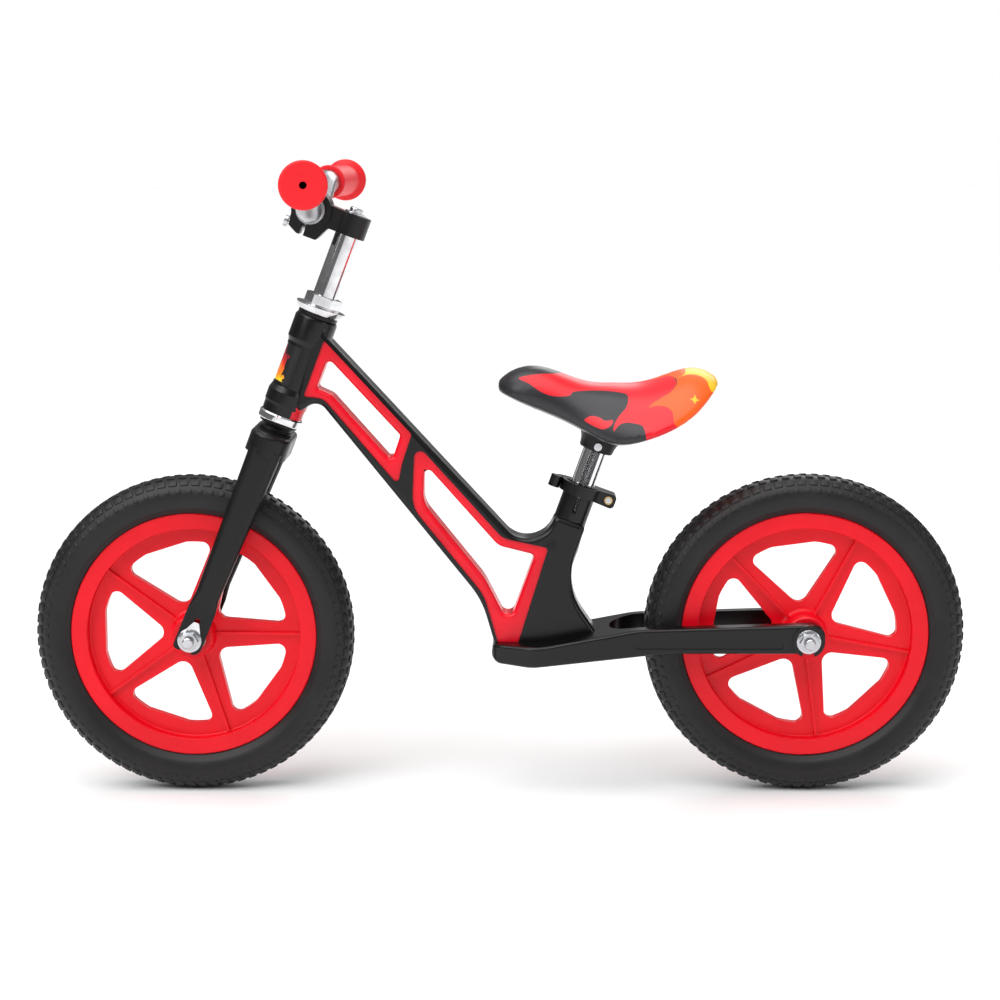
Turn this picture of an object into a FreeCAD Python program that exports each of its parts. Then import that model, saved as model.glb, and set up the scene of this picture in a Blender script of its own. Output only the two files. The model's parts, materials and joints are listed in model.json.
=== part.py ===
import FreeCAD, Part
import math
import os
import Sketcher

# A child's balance bike. X runs along the bike (front is -X), Y across it (the rider's left is -Y),
# Z up. The origin is on the ground, midway between the two wheels. All lengths are millimetres.

SIZES = {
    # overall layout
    "wheelBase": 552.6,          # between the two axles
    "tyreRadius": 145,           # outside of the tyre, and so the axles' height
    "headAngle": 21,             # lean of the steering axis from upright, degrees
    "forkLength": 200,           # front axle to the crown's top, along the steering axis
    "forkOffset": 5,             # front axle ahead of the steering axis
    "seatAngle": 20,             # lean of the seat tube from upright, degrees
    "seatTubeTopX": 76.5,        # top centre of the seat tube
    "seatTubeTopRise": 136.5,    # the same point above the axles
    # axles, bearings and nuts
    "axleRadius": 5,
    "bearingRadius": 13,
    "bearingWidth": 8,
    "bearingRaceWall": 2.6,
    "bearingBallCount": 8,
    "ballGap": 0.05,
    "axleTail": 6,               # free thread past each nut
    "nutAcrossFlats": 15,
    "nutHeight": 8,
    "nutFlangeRadius": 10.8,
    "nutFlangeHeight": 1.6,
    "washerThickness": 1.5,
    "washerRadius": 10,
    "washerTabLength": 17.6,       # axle centre to the tip of the retaining tab
    "washerTabHalfWidth": 2.4,
    # wheels
    "hubHalfWidth": 27,
    "hubRadius": 19,
    "hubBore": 8,
    "hubFlangeRadius": 34,
    "wheelDiscThickness": 9,
    "windowInnerWidth": 13,      # spoke's half width where the windows begin
    "windowOuterWidth": 8.4,     # spoke's half width at the ring
    "windowRound": 9,
    "ringInnerRadius": 84,
    "ringRound": 7,
    "rimInnerRadius": 97,
    "rimWall": 4,
    "rimEdgeRadius": 111.5,
    "rimHalfWidth": 15,
    "rimLip": 3.2,
    "rimRound": 1.4,
    "spokeCount": 5,
    "ribThickness": 2.6,
    "ribHalfHeight": 8,
    "frontWheelTurn": 0.5,       # resting turn of the wheels, degrees
    "rearWheelTurn": 10.5,
    "valveBossHalfWidth": 5.5,   # thicker place on each ring, between two spokes
    "valveBossRise": 1.8,
    "frontValvePlace": 4.5,      # in spoke pitches from the resting turn
    "rearValvePlace": 3.5,
    "tyreHalfWidth": 22,
    # steerer, crown and fork legs
    "steererRadius": 12.7,
    "crownHeight": 20,
    "crownHalfDepth": 18.6,
    "crownHalfWidth": 45,
    "crownRound": 4,
    "legTopDepth": 30,
    "legTopThickness": 17,
    "legLowDepth": 22,
    "legLowThickness": 12,
    "legTaperEnd": 44,           # axle to the leg's round part
    "legCentre": 35.5,           # leg's centre from the mid-plane
    "tipThickness": 6,
    "tipTop": 30,
    "tipDepth": 25,
    "tipTail": 12,               # fork end below the axle
    "tipHoleHeight": 18.6,       # small hole for the retaining washer's tab
    "tipHoleRadius": 2.6,
    "tipInner": 32,              # inner face of a fork end from the mid-plane
    "slotClearance": 0.3,
    # head set
    "headTubeBottom": 16,        # distances along the steering axis from the crown's top
    "headTubeTop": 108,
    "headBore": 15,
    "headWaistRadius": 17.6,
    "headCollarRadius": 19.4,
    "cupSkirtInner": 13.5,
    "cupSkirtLength": 12,
    "lowerCupRadius": 20,
    "upperCupRadius": 18,
    "headBallRadius": 2,
    "headBallCount": 20,
    "dustCoverRadius": 22.6,
    "dustCoverWall": 1.1,
    "lockNutAcrossFlats": 29,
    "lockNutHeight": 8.8,
    "headBallPitch": 15.6,
    "upperPitchStep": 0.8,       # the upper ring of balls is this much smaller in radius
    "crownRaceRadius": 13.7,
    "coneTop": 9.4,
    "keyWasherThickness": 1.4,
    "steererAbove": 18.6,
    "badgeDepth": 0.7,           # panel in the front of the head tube
    "badgeBottom": 43,
    "badgeTop": 79,
    "badgeSweep": 166,
    # quill, stem and handlebar
    "tubeRadius": 11.1,          # seat post, quill and handlebar are 22.2 mm tube
    "tubeWall": 1.8,
    "tubeClearance": 0.05,
    "quillBottom": 62,
    "stemBottom": 186.5,
    "stemTop": 206,
    "stemBossRadius": 15.4,
    "stemArmHalfWidth": 12,
    "barReach": 36.5,            # bar centre ahead of the steering axis
    "barHeight": 197,            # bar centre above the crown's top
    "barClampRadius": 17.7,
    "barClampHalfWidth": 17,
    "barSleeveRadius": 12.7,
    "barSleeveHalfWidth": 27,
    "clampSlit": 3.6,
    "clampLugBottom": 172.8,
    "clampBoltRadius": 3,
    "wedgeLength": 17,
    "expanderRadius": 3.5,
    "expanderHeadRadius": 6,
    "expanderWasher": 1.6,
    "expanderWasherRadius": 9.4,
    "handlebarHalfWidth": 206,
    "barRise": 22.5,
    "barFirstBend": 40,
    "barSecondBend": 78,
    "barBendRadius": 30,
    "barSweep": 9.5,             # grip end behind the second bend
    "barBendSweep": 3,
    "gripLength": 106,
    "gripRadius": 14.6,
    "gripFlangeRadius": 15.6,
    "gripKnobRadius": 19.9,
    "gripEndWall": 4,
    "gripHoleRadius": 3,
    "barTipRise": 1,
    # frame casting: web
    "webThickness": 34,
    "webRound": 5,
    "topLineStart": 104,         # where the top tube's upper edge meets the steering axis
    "valleyDepth": 80,           # corner of top tube and seat tube, below the seat tube's top
    "valleyRound": 25,
    "seatTubeRadius": 14.8,
    "seatTubeFlare": 16.6,
    "seatTubeRoot": 100,
    "webShoulder": 34,           # web's upper end on the seat tube
    "seatBoreDepth": 115,
    "seatSlotLength": 27,
    "seatSlotWidth": 4,
    "waistDepth": 92,            # rear corner of the web, below the seat tube's top
    "waistRound": 60,
    "rearFootX": 93.6,
    "frontFootX": -1.8,
    "kneeX": -15.4,              # corner of the down tube's lower edge
    "kneeRise": 32.1,
    "kneeRound": 80,
    "archHeight": 41,            # top of the arch behind the head tube
    "archOffset": 26.6,
    "archRound": 11,
    # frame casting: windows and painted bands
    "bandRecess": 1.6,
    "lipRound": 3.8,
    "windowTopInset": 12.3,
    "windowUnderInset": 16.5,
    "windowHeadOffset": 22,
    "windowSeatOffset": 19.4,
    "bandTopInset": 3.8,
    "bandUnderInset": 7.6,
    "bandHeadOffset": 13.6,
    "rearWindowTopInset": 13.8,
    "rearWindowUnderInset": 14.7,
    "rearBandTopInset": 6.4,
    "rearBandUnderInset": 4.8,
    "plugRadius": 4,             # blanking plug in the left side
    "plugDepth": 3,
    "plugDown": 60.4,            # below the seat tube's top, along it
    "plugOffset": -8.5,
    # frame casting: base plate and stays
    "plateNoseX": -8.2,
    "plateHalfWidth": 44,
    "noseHalfWidth": 24,
    "noseSlant": 3,
    "noseRound": 20,
    "shoulderX": 30,
    "shoulderRound": 40,
    "stayThickness": 13,
    "stayTopRise": 15,
    "stayBottomDrop": 11.6,
    "plateTopDrop": 6.5,
    "plateBottomDrop": 25,
    "plateBendX": 40,
    "plateTopBendX": 125,
    "plateUnderBendX": 150,
    "plateBendRound": 100,
    "plateRound": 3,
    "tyreGap": 31,               # wheel cut-out ahead of the rear tyre
    "cutoutRound": 28,
    "stayTail": 15,              # stay's end behind the rear axle
    "stayTailRound": 11,
    "endBossRadius": 14.5,
    "endBossHeight": 1.2,
    "grooveDepth": 1.2,
    "grooveHalfHeight": 3.6,
    "grooveDrop": 3.4,
    "grooveStart": 20,           # behind the wheel cut-out's front
    "grooveEnd": 22,             # ahead of the rear axle
    # seat post and clamp
    "postTop": 42,               # above the seat tube's top
    "postBottom": 80,            # below it
    "fluteRadius": 1.5,
    "fluteSink": 0.8,
    "fluteCount": 6,
    "collarHeight": 10,
    "collarRadius": 19.3,
    "collarDrop": 1,
    "earOffset": 26,
    "earRadius": 6.4,
    "earInner": 1.5,
    "earOuter": 11,
    "skewerRadius": 2.5,
    "barrelRadius": 3.8,
    "barrelLength": 5,
    "camRadius": 6,
    "camLift": 0.8,
    "leverPinOut": 21,
    "leverPinRadius": 2,
    "leverInnerRadius": 22.5,
    "leverThickness": 4.5,
    "leverHeight": 9,
    "leverKnobRadius": 5.2,
    "leverSweep": 165,
    # saddle
    "bossBottom": 32,            # saddle base, above the seat tube's top
    "bossBottomRadius": 15.4,
    "bossTopRadius": 25,
    "bossTop": 74,
    "bossTaperEnd": 52,
    "crossScrewRadius": 2,
    "crossScrewHead": 3.6,
    "crossScrewHeight": 37,
    "saddleSag": 0.12,           # bulge of the pad's underside, as a share of its height
}

# Sections of the saddle's pad from nose to tail, from the seat tube's top: distance back, half width,
# height of the lower edge and height of the crown.
SADDLE_SECTIONS = [
    (-75.5, 8, 85.0, 92.0),
    (-68, 17, 82.0, 98.5),
    (-46, 25, 73.5, 105.3),
    (-12, 32, 59.5, 96.0),
    (28, 50, 42.5, 89.8),
    (63, 61, 50.0, 93.5),
    (93, 57, 66.0, 102.8),
    (112, 38, 84.0, 98.8),
    (118, 20, 90.0, 95.0),
]

for station, section in enumerate(SADDLE_SECTIONS):
    for name, size in zip(("Along", "HalfWidth", "Edge", "Crown"), section):
        SIZES[f"saddle{name}{'ABCDEFGHIJ'[station]}"] = size

# Places worked out from the sizes above. Each one may use those before it.
PLACES = {
    "frontAxleX": "-size.wheelBase / 2",
    "rearAxleX": "size.wheelBase / 2",
    "axleZ": "size.tyreRadius",
    "leanSin": "sin(size.headAngle)",
    "leanCos": "cos(size.headAngle)",
    "crownX": "place.frontAxleX + size.forkLength * place.leanSin + size.forkOffset * place.leanCos",
    "crownZ": "place.axleZ + size.forkLength * place.leanCos - size.forkOffset * place.leanSin",
    "barX": "place.crownX + size.barHeight * place.leanSin - size.barReach * place.leanCos",
    "barZ": "place.crownZ + size.barHeight * place.leanCos + size.barReach * place.leanSin",
    "seatSin": "sin(size.seatAngle)",
    "seatCos": "cos(size.seatAngle)",
    "seatX": "size.seatTubeTopX",
    "seatZ": "place.axleZ + size.seatTubeTopRise",
    "legRun": "size.forkLength - size.crownHeight",
    "legLength": "sqrt(place.legRun ^ 2 + size.forkOffset ^ 2)",
    "legAngle": "size.headAngle + atan(size.forkOffset / place.legRun) / 1 deg",
    "spokePitch": "360 / size.spokeCount",
    "spokeTaper": "(size.windowInnerWidth - size.windowOuterWidth) / (size.rimInnerRadius - size.hubFlangeRadius)",
    "windowApex": "(size.windowInnerWidth + place.spokeTaper * size.hubFlangeRadius)"
                  " / (tan(place.spokePitch / 2) + place.spokeTaper) / cos(place.spokePitch / 2)",
    "raceMiddle": "(size.bearingRadius + size.axleRadius) / 2",
    "raceBall": "(size.bearingRadius - size.axleRadius) / 2 - size.bearingRaceWall - size.ballGap",
    "stayInner": "size.plateHalfWidth - size.stayThickness",
    "slotFrontX": "place.rearAxleX - size.tyreRadius - size.tyreGap",
    "stayEndX": "place.rearAxleX + size.stayTail",
    "topStartX": "place.crownX + size.topLineStart * place.leanSin",
    "topStartZ": "place.crownZ + size.topLineStart * place.leanCos",
    "valleyX": "place.seatX - size.valleyDepth * place.seatSin - size.seatTubeRadius * place.seatCos",
    "valleyZ": "place.seatZ - size.valleyDepth * place.seatCos + size.seatTubeRadius * place.seatSin",
    "topLength": "sqrt((place.valleyX - place.topStartX) ^ 2 + (place.valleyZ - place.topStartZ) ^ 2)",
    "topDirX": "(place.valleyX - place.topStartX) / place.topLength",
    "topDirZ": "(place.valleyZ - place.topStartZ) / place.topLength",
    "archX": "place.crownX + size.archHeight * place.leanSin + size.archOffset * place.leanCos",
    "archZ": "place.crownZ + size.archHeight * place.leanCos - size.archOffset * place.leanSin",
    "kneeZ": "place.axleZ + size.kneeRise",
    "underLength": "sqrt((size.kneeX - place.archX) ^ 2 + (place.kneeZ - place.archZ) ^ 2)",
    "underDirX": "(size.kneeX - place.archX) / place.underLength",
    "underDirZ": "(place.kneeZ - place.archZ) / place.underLength",
}

document = FreeCAD.newDocument("balance_bike")
nodes = {}


def make_sheet():
    sheet = document.addObject("Spreadsheet::Sheet", "size")
    for row, (name, number) in enumerate(SIZES.items(), 1):
        sheet.set(f"A{row}", name)
        sheet.set(f"B{row}", str(number))
        sheet.setAlias(f"B{row}", name)
    document.recompute()
    places = document.addObject("App::VarSet", "place")
    for name, rule in PLACES.items():
        places.addProperty("App::PropertyFloat", name)
        places.setExpression(name, rule)
        document.recompute()
    return sheet


sheet = make_sheet()


def number(rule):
    """The value that an expression has now."""
    result = sheet.evalExpression(rule)
    return float(getattr(result, "Value", result))


# Placing ---------------------------------------------------------------------------------------
# Each group of pieces is modelled upright about its own axis and then put on the bike.

def put(item, base, axis, angle):
    turn = FreeCAD.Rotation(FreeCAD.Vector(*axis), number(angle))
    item.Placement = FreeCAD.Placement(FreeCAD.Vector(*[number(rule) for rule in base]), turn)
    for name, rule in zip("xyz", base):
        item.setExpression(f"Placement.Base.{name}", rule)
    item.setExpression("Placement.Rotation.Angle", angle)
    return item


def on_steering(item):
    return put(item, ("place.crownX", "0", "place.crownZ"), (0, 1, 0), "size.headAngle")


def on_leg(item):
    return put(item, ("place.frontAxleX", "0", "place.axleZ"), (0, 1, 0), "place.legAngle")


def on_seat_tube(item):
    return put(item, ("place.seatX", "0", "place.seatZ"), (0, 1, 0), "size.seatAngle")


def on_axle(item, end):
    return put(item, (f"place.{end}AxleX", "0", "place.axleZ"), (1, 0, 0), "-90")


# Sketching -------------------------------------------------------------------------------------

def new_body(label):
    body = document.addObject("PartDesign::Body", label)
    body.Label = label
    return body


def origin_part(body, role):
    return [item for item in body.Origin.OriginFeatures if item.Role == role][0]


def new_sketch(body, role, offset=None):
    sketch = body.newObject("Sketcher::SketchObject", "sketch")
    sketch.AttachmentSupport = [(origin_part(body, role), "")]
    sketch.MapMode = "FlatFace"
    if offset:
        sketch.AttachmentOffset = FreeCAD.Placement(FreeCAD.Vector(0, 0, number(offset)), FreeCAD.Rotation())
        sketch.setExpression("AttachmentOffset.Base.z", offset)
    return sketch


def bind(sketch, constraint, rule):
    """Adds a sized constraint whose value follows an expression."""
    index = sketch.addConstraint(constraint)
    name = f"bound{index}"
    sketch.renameConstraint(index, name)
    sketch.setExpression(f"Constraints.{name}", rule)


def fix_point(sketch, geometry, end, x_rule, y_rule):
    bind(sketch, Sketcher.Constraint("DistanceX", geometry, end, number(x_rule)), x_rule)
    bind(sketch, Sketcher.Constraint("DistanceY", geometry, end, number(y_rule)), y_rule)


def corner_cut(before, corner, after, radius):
    """Tangent points and centre of an arc that rounds a corner."""
    back = (before - corner).normalize()
    ahead = (after - corner).normalize()
    half = back.getAngle(ahead) / 2
    reach = radius / math.tan(half)
    middle = (back + ahead).normalize()
    centre = corner + middle * (radius / math.sin(half))
    return corner + back * reach, corner + ahead * reach, centre


def arc_of(centre, radius, start, end):
    """The arc that runs anticlockwise from start to end."""
    angles = [math.atan2(point.y - centre.y, point.x - centre.x) for point in (start, end)]
    return Part.ArcOfCircle(Part.Circle(centre, FreeCAD.Vector(0, 0, 1), radius), *angles)


def draw_outline(sketch, corners):
    """A closed outline of straight edges through corners (x, y) or, rounded, (x, y, radius)."""
    points = [FreeCAD.Vector(number(corner[0]), number(corner[1]), 0) for corner in corners]
    count = len(points)
    entry = list(points)
    leave = list(points)
    centres = {}
    for index, corner in enumerate(corners):
        if len(corner) == 3:
            cut = corner_cut(points[index - 1], points[index], points[(index + 1) % count], number(corner[2]))
            entry[index], leave[index], centres[index] = cut
    sides = []
    for index in range(count):
        side = Part.LineSegment(leave[index], entry[(index + 1) % count])
        sides.append(sketch.addGeometry(side, False))
    for index, corner in enumerate(corners):
        before = sides[index - 1]
        after = sides[index]
        if index not in centres:
            sketch.addConstraint(Sketcher.Constraint("Coincident", before, 2, after, 1))
            fix_point(sketch, after, 1, corner[0], corner[1])
            continue
        tip = sketch.addGeometry(Part.Point(points[index]), True)
        fix_point(sketch, tip, 1, corner[0], corner[1])
        sketch.addConstraint(Sketcher.Constraint("PointOnObject", tip, 1, before))
        sketch.addConstraint(Sketcher.Constraint("PointOnObject", tip, 1, after))
        radius = number(corner[2])
        turns_left = (points[index] - entry[index]).cross(leave[index] - points[index]).z > 0
        first, last = (entry[index], leave[index]) if turns_left else (leave[index], entry[index])
        arc = sketch.addGeometry(arc_of(centres[index], radius, first, last), False)
        start, end = (1, 2) if turns_left else (2, 1)
        sketch.addConstraint(Sketcher.Constraint("Tangent", before, 2, arc, start))
        sketch.addConstraint(Sketcher.Constraint("Tangent", after, 1, arc, end))
        bind(sketch, Sketcher.Constraint("Radius", arc, radius), corner[2])
    return sketch


def outline(body, role, corners, offset=None):
    return draw_outline(new_sketch(body, role, offset), corners)


def circle(body, role, x_rule, y_rule, radius_rule, offset=None):
    sketch = new_sketch(body, role, offset)
    centre = FreeCAD.Vector(number(x_rule), number(y_rule), 0)
    ring = sketch.addGeometry(Part.Circle(centre, FreeCAD.Vector(0, 0, 1), number(radius_rule)), False)
    fix_point(sketch, ring, 3, x_rule, y_rule)
    bind(sketch, Sketcher.Constraint("Radius", ring, number(radius_rule)), radius_rule)
    return sketch


# Features --------------------------------------------------------------------------------------

def extrude(body, kind, sketch, length, both=True, away=False):
    """A Pad or a Pocket of a sketch: to both sides of it, or to one."""
    feature = body.newObject(f"PartDesign::{kind}", kind.lower())
    feature.Profile = sketch
    feature.SideType = "Symmetric" if both else "One side"
    feature.Reversed = away
    feature.setExpression("Length", length)
    document.recompute()
    return feature


def turn(body, kind, sketch, angle=360):
    """A Revolution or a Groove about the sketch's upright axis."""
    feature = body.newObject(f"PartDesign::{kind}", kind.lower())
    feature.Profile = sketch
    feature.ReferenceAxis = (sketch, ["V_Axis"])
    feature.Angle = angle
    feature.Midplane = angle < 360
    document.recompute()
    return feature


def repeat(body, feature, count):
    """Copies a feature round the body's own upright axis."""
    pattern = body.newObject("PartDesign::PolarPattern", "pattern")
    pattern.Originals = [feature]
    pattern.Axis = (origin_part(body, "Z_Axis"), [""])
    pattern.Angle = 360
    pattern.setExpression("Occurrences", count)
    body.Tip = pattern
    document.recompute()
    return pattern


def edges_where(shape, test):
    return [f"Edge{index}" for index, edge in enumerate(shape.Edges, 1) if test(edge)]


def dress(body, kind, radius, test):
    """A Fillet or a Chamfer on the edges of the body's last feature that pass a test."""
    base = body.Tip
    feature = body.newObject(f"PartDesign::{kind}", kind.lower())
    feature.Base = (base, edges_where(base.Shape, test))
    feature.setExpression("Radius" if kind == "Fillet" else "Size", radius)
    document.recompute()
    return feature


def turned(label, corners):
    """A body turned about its upright axis from an outline of (radius, height) corners."""
    body = new_body(label)
    turn(body, "Revolution", outline(body, "XZ_Plane", corners))
    return body


def ring(label, inner, outer, low, high):
    return turned(label, [(inner, low), (outer, low), (outer, high), (inner, high)])


def boolean(label, kind, base, tool):
    item = document.addObject(f"Part::{kind}", label)
    item.Base = base
    item.Tool = tool
    document.recompute()
    return item


def fused(label, items):
    item = document.addObject("Part::MultiFuse", label)
    item.Shapes = items
    document.recompute()
    return item


def group(label, items):
    item = document.addObject("Part::Compound", label)
    item.Links = items
    document.recompute()
    return item


def mirrored(item):
    """The same piece on the other side of the bike."""
    copy = document.addObject("Part::Mirroring", f"{item.Label}_right")
    copy.Source = item
    copy.Normal = FreeCAD.Vector(0, 1, 0)
    document.recompute()
    return copy


def keep(label, item):
    item.Label = label
    nodes[label] = item
    return item


def keep_pair(label, item):
    item.Label = f"{label}_left"
    return keep(label, group(label, [item, mirrored(item)]))


def ball_ring(label, count, radius, pitch_radius, height):
    """A ring of balls about an upright axis."""
    balls = []
    for index in range(int(number(count))):
        ball = document.addObject("Part::Sphere", "ball")
        ball.setExpression("Radius", radius)
        angle = f"360 * {index} / {count}"
        ball.setExpression("Placement.Base.x", f"({pitch_radius}) * cos({angle})")
        ball.setExpression("Placement.Base.y", f"({pitch_radius}) * sin({angle})")
        ball.setExpression("Placement.Base.z", height)
        balls.append(ball)
    return group(label, balls)


def rod(label, radius, low, high):
    """A plain cylinder about the upright axis."""
    return turned(label, [("0", low), (radius, low), (radius, high), ("0", high)])


def hex_nut(label, flats, radius, low, height, flange_radius="0", flange_height="0", chamfer="1"):
    """A hexagon nut that stands on the height low, with an optional round flange."""
    corner = f"({flats} / sqrt(3))"
    top = f"({low}) + ({height})"
    prism = document.addObject("Part::Prism", f"{label}_prism")
    prism.Polygon = 6
    prism.setExpression("Circumradius", corner)
    prism.setExpression("Height", height)
    prism.setExpression("Placement.Base.z", low)
    blank = turned(f"{label}_blank", [("0", low), (corner, low), (corner, f"{top} - {chamfer} / 2"),
                                      (f"{corner} - {chamfer}", top), ("0", top)])
    solid = boolean(f"{label}_hexagon", "Common", prism, blank)
    if flange_radius != "0":
        edge = f"({low}) + ({flange_height})"
        flange = turned(f"{label}_flange", [("0", low), (flange_radius, low), (flange_radius, f"({low}) + 0.6"),
                                            (f"{corner} - 0.4", edge), ("0", edge)])
        solid = fused(f"{label}_solid", [solid, flange])
    bore = rod(f"{label}_bore", radius, f"({low}) - 1", f"{top} + 1")
    return boolean(label, "Cut", solid, bore)


# Points of the frame's side view ---------------------------------------------------------------

def head_point(height, offset):
    """A point from the crown's top: height along the steering axis, offset behind it."""
    return (f"place.crownX + ({height}) * place.leanSin + ({offset}) * place.leanCos",
            f"place.crownZ + ({height}) * place.leanCos - ({offset}) * place.leanSin")


def seat_point(depth, offset):
    """A point from the seat tube's top: depth down its axis, offset behind it."""
    return (f"place.seatX - ({depth}) * place.seatSin + ({offset}) * place.seatCos",
            f"place.seatZ - ({depth}) * place.seatCos - ({offset}) * place.seatSin")


def top_point(distance, inset):
    """A point along the top tube's upper edge from its front end, inset into the web."""
    return (f"place.topStartX + ({distance}) * place.topDirX + ({inset}) * place.topDirZ",
            f"place.topStartZ + ({distance}) * place.topDirZ - ({inset}) * place.topDirX")


def top_back(distance, inset):
    return top_point(f"place.topLength - ({distance})", inset)


def under_point(distance, inset):
    """A point along the down tube's lower edge from the arch, inset into the web."""
    return (f"place.archX + ({distance}) * place.underDirX - ({inset}) * place.underDirZ",
            f"place.archZ + ({distance}) * place.underDirZ + ({inset}) * place.underDirX")


def under_back(distance, inset):
    return under_point(f"place.underLength - ({distance})", inset)


def rounded(point, radius):
    return point + (radius,)


# Frame casting ---------------------------------------------------------------------------------

def front_window():
    return [
        rounded(top_point("31", "size.windowTopInset"), "4"),
        rounded(head_point("50.5", "size.windowHeadOffset"), "3"),
        rounded(head_point("49.5", "37"), "9"),
        rounded(under_point("84", "size.windowUnderInset"), "3.5"),
        rounded(top_point("125", "size.windowTopInset"), "3.5"),
    ]


def front_band():
    return [
        rounded(top_point("17", "size.bandTopInset"), "1.5"),
        rounded(head_point("39.5", "size.bandHeadOffset"), "1.5"),
        rounded(head_point("44", "31"), "14"),
        rounded(under_point("104", "size.bandUnderInset"), "3"),
        rounded(under_point("92", "21.6"), "40"),
        rounded(top_point("131", "size.bandTopInset"), "4"),
    ]


def rear_window():
    return [
        rounded(top_back("134.6", "size.rearWindowTopInset"), "4"),
        rounded(under_back("101", "size.rearWindowUnderInset"), "25"),
        rounded(under_back("13", "size.rearWindowUnderInset"), "60"),
        rounded(seat_point("142.8", "-size.windowSeatOffset"), "6.5"),
        rounded(seat_point("74.5", "-size.windowSeatOffset"), "4"),
        rounded(seat_point("78", "-53"), "18"),
    ]


def rear_band():
    return [
        rounded(top_back("155", "size.rearBandTopInset"), "5.8"),
        rounded(under_back("105", "size.rearBandUnderInset"), "30"),
        rounded(under_back("2", "size.rearBandUnderInset"), "50"),
        ("0", "place.axleZ - 9"),
        ("17", "place.axleZ - 9"),
        rounded(seat_point("64", "-10.3"), "3"),
        rounded(seat_point("69.5", "-52"), "16"),
    ]


def make_web():
    body = new_body("frame_web")
    seat = "size.seatTubeRadius"
    extrude(body, "Pad", outline(body, "XZ_Plane", [
        top_point("0", "0"),
        ("place.valleyX", "place.valleyZ", "size.valleyRound"),
        seat_point("size.webShoulder", f"-{seat}"),
        seat_point("size.webShoulder", seat),
        rounded(seat_point("size.waistDepth", seat), "size.waistRound"),
        ("size.rearFootX", "place.axleZ - 5"),
        ("size.frontFootX", "place.axleZ - 15"),
        ("size.kneeX", "place.kneeZ", "size.kneeRound"),
        ("place.archX", "place.archZ", "size.archRound"),
        head_point("size.headTubeBottom + 1", "10"),
    ]), "size.webThickness")
    face = number("size.webThickness") / 2
    dress(body, "Fillet", "size.webRound", lambda edge: all(abs(abs(vertex.Y) - face) < 0.01
                                                           for vertex in edge.Vertexes))
    for shape in (front_window(), rear_window()):
        extrude(body, "Pocket", outline(body, "XZ_Plane", shape), "size.webThickness + 2")
    floor = "size.webThickness / 2 - size.bandRecess"
    for shape in (front_band(), rear_band()):
        near = outline(body, "XZ_Plane", shape, floor)
        extrude(body, "Pocket", near, "size.bandRecess + 1", both=False, away=True)
        far = outline(body, "XZ_Plane", shape, f"-({floor})")
        extrude(body, "Pocket", far, "size.bandRecess + 1", both=False)
    depth = number(floor)
    walls = [side for side in body.Tip.Shape.Faces if abs(side.BoundBox.YLength - 2 * depth) < 0.01]
    lips = [edge for side in walls for edge in side.Edges
            if all(abs(abs(vertex.Y) - depth) < 0.01 for vertex in edge.Vertexes) and not is_across(edge)]
    dress(body, "Fillet", "size.lipRound", lambda edge: any(edge.isSame(lip) for lip in lips))
    return body


def is_across(edge):
    """Whether an edge runs from one side of the bike to the other."""
    return edge.BoundBox.YLength > 0.01


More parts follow.
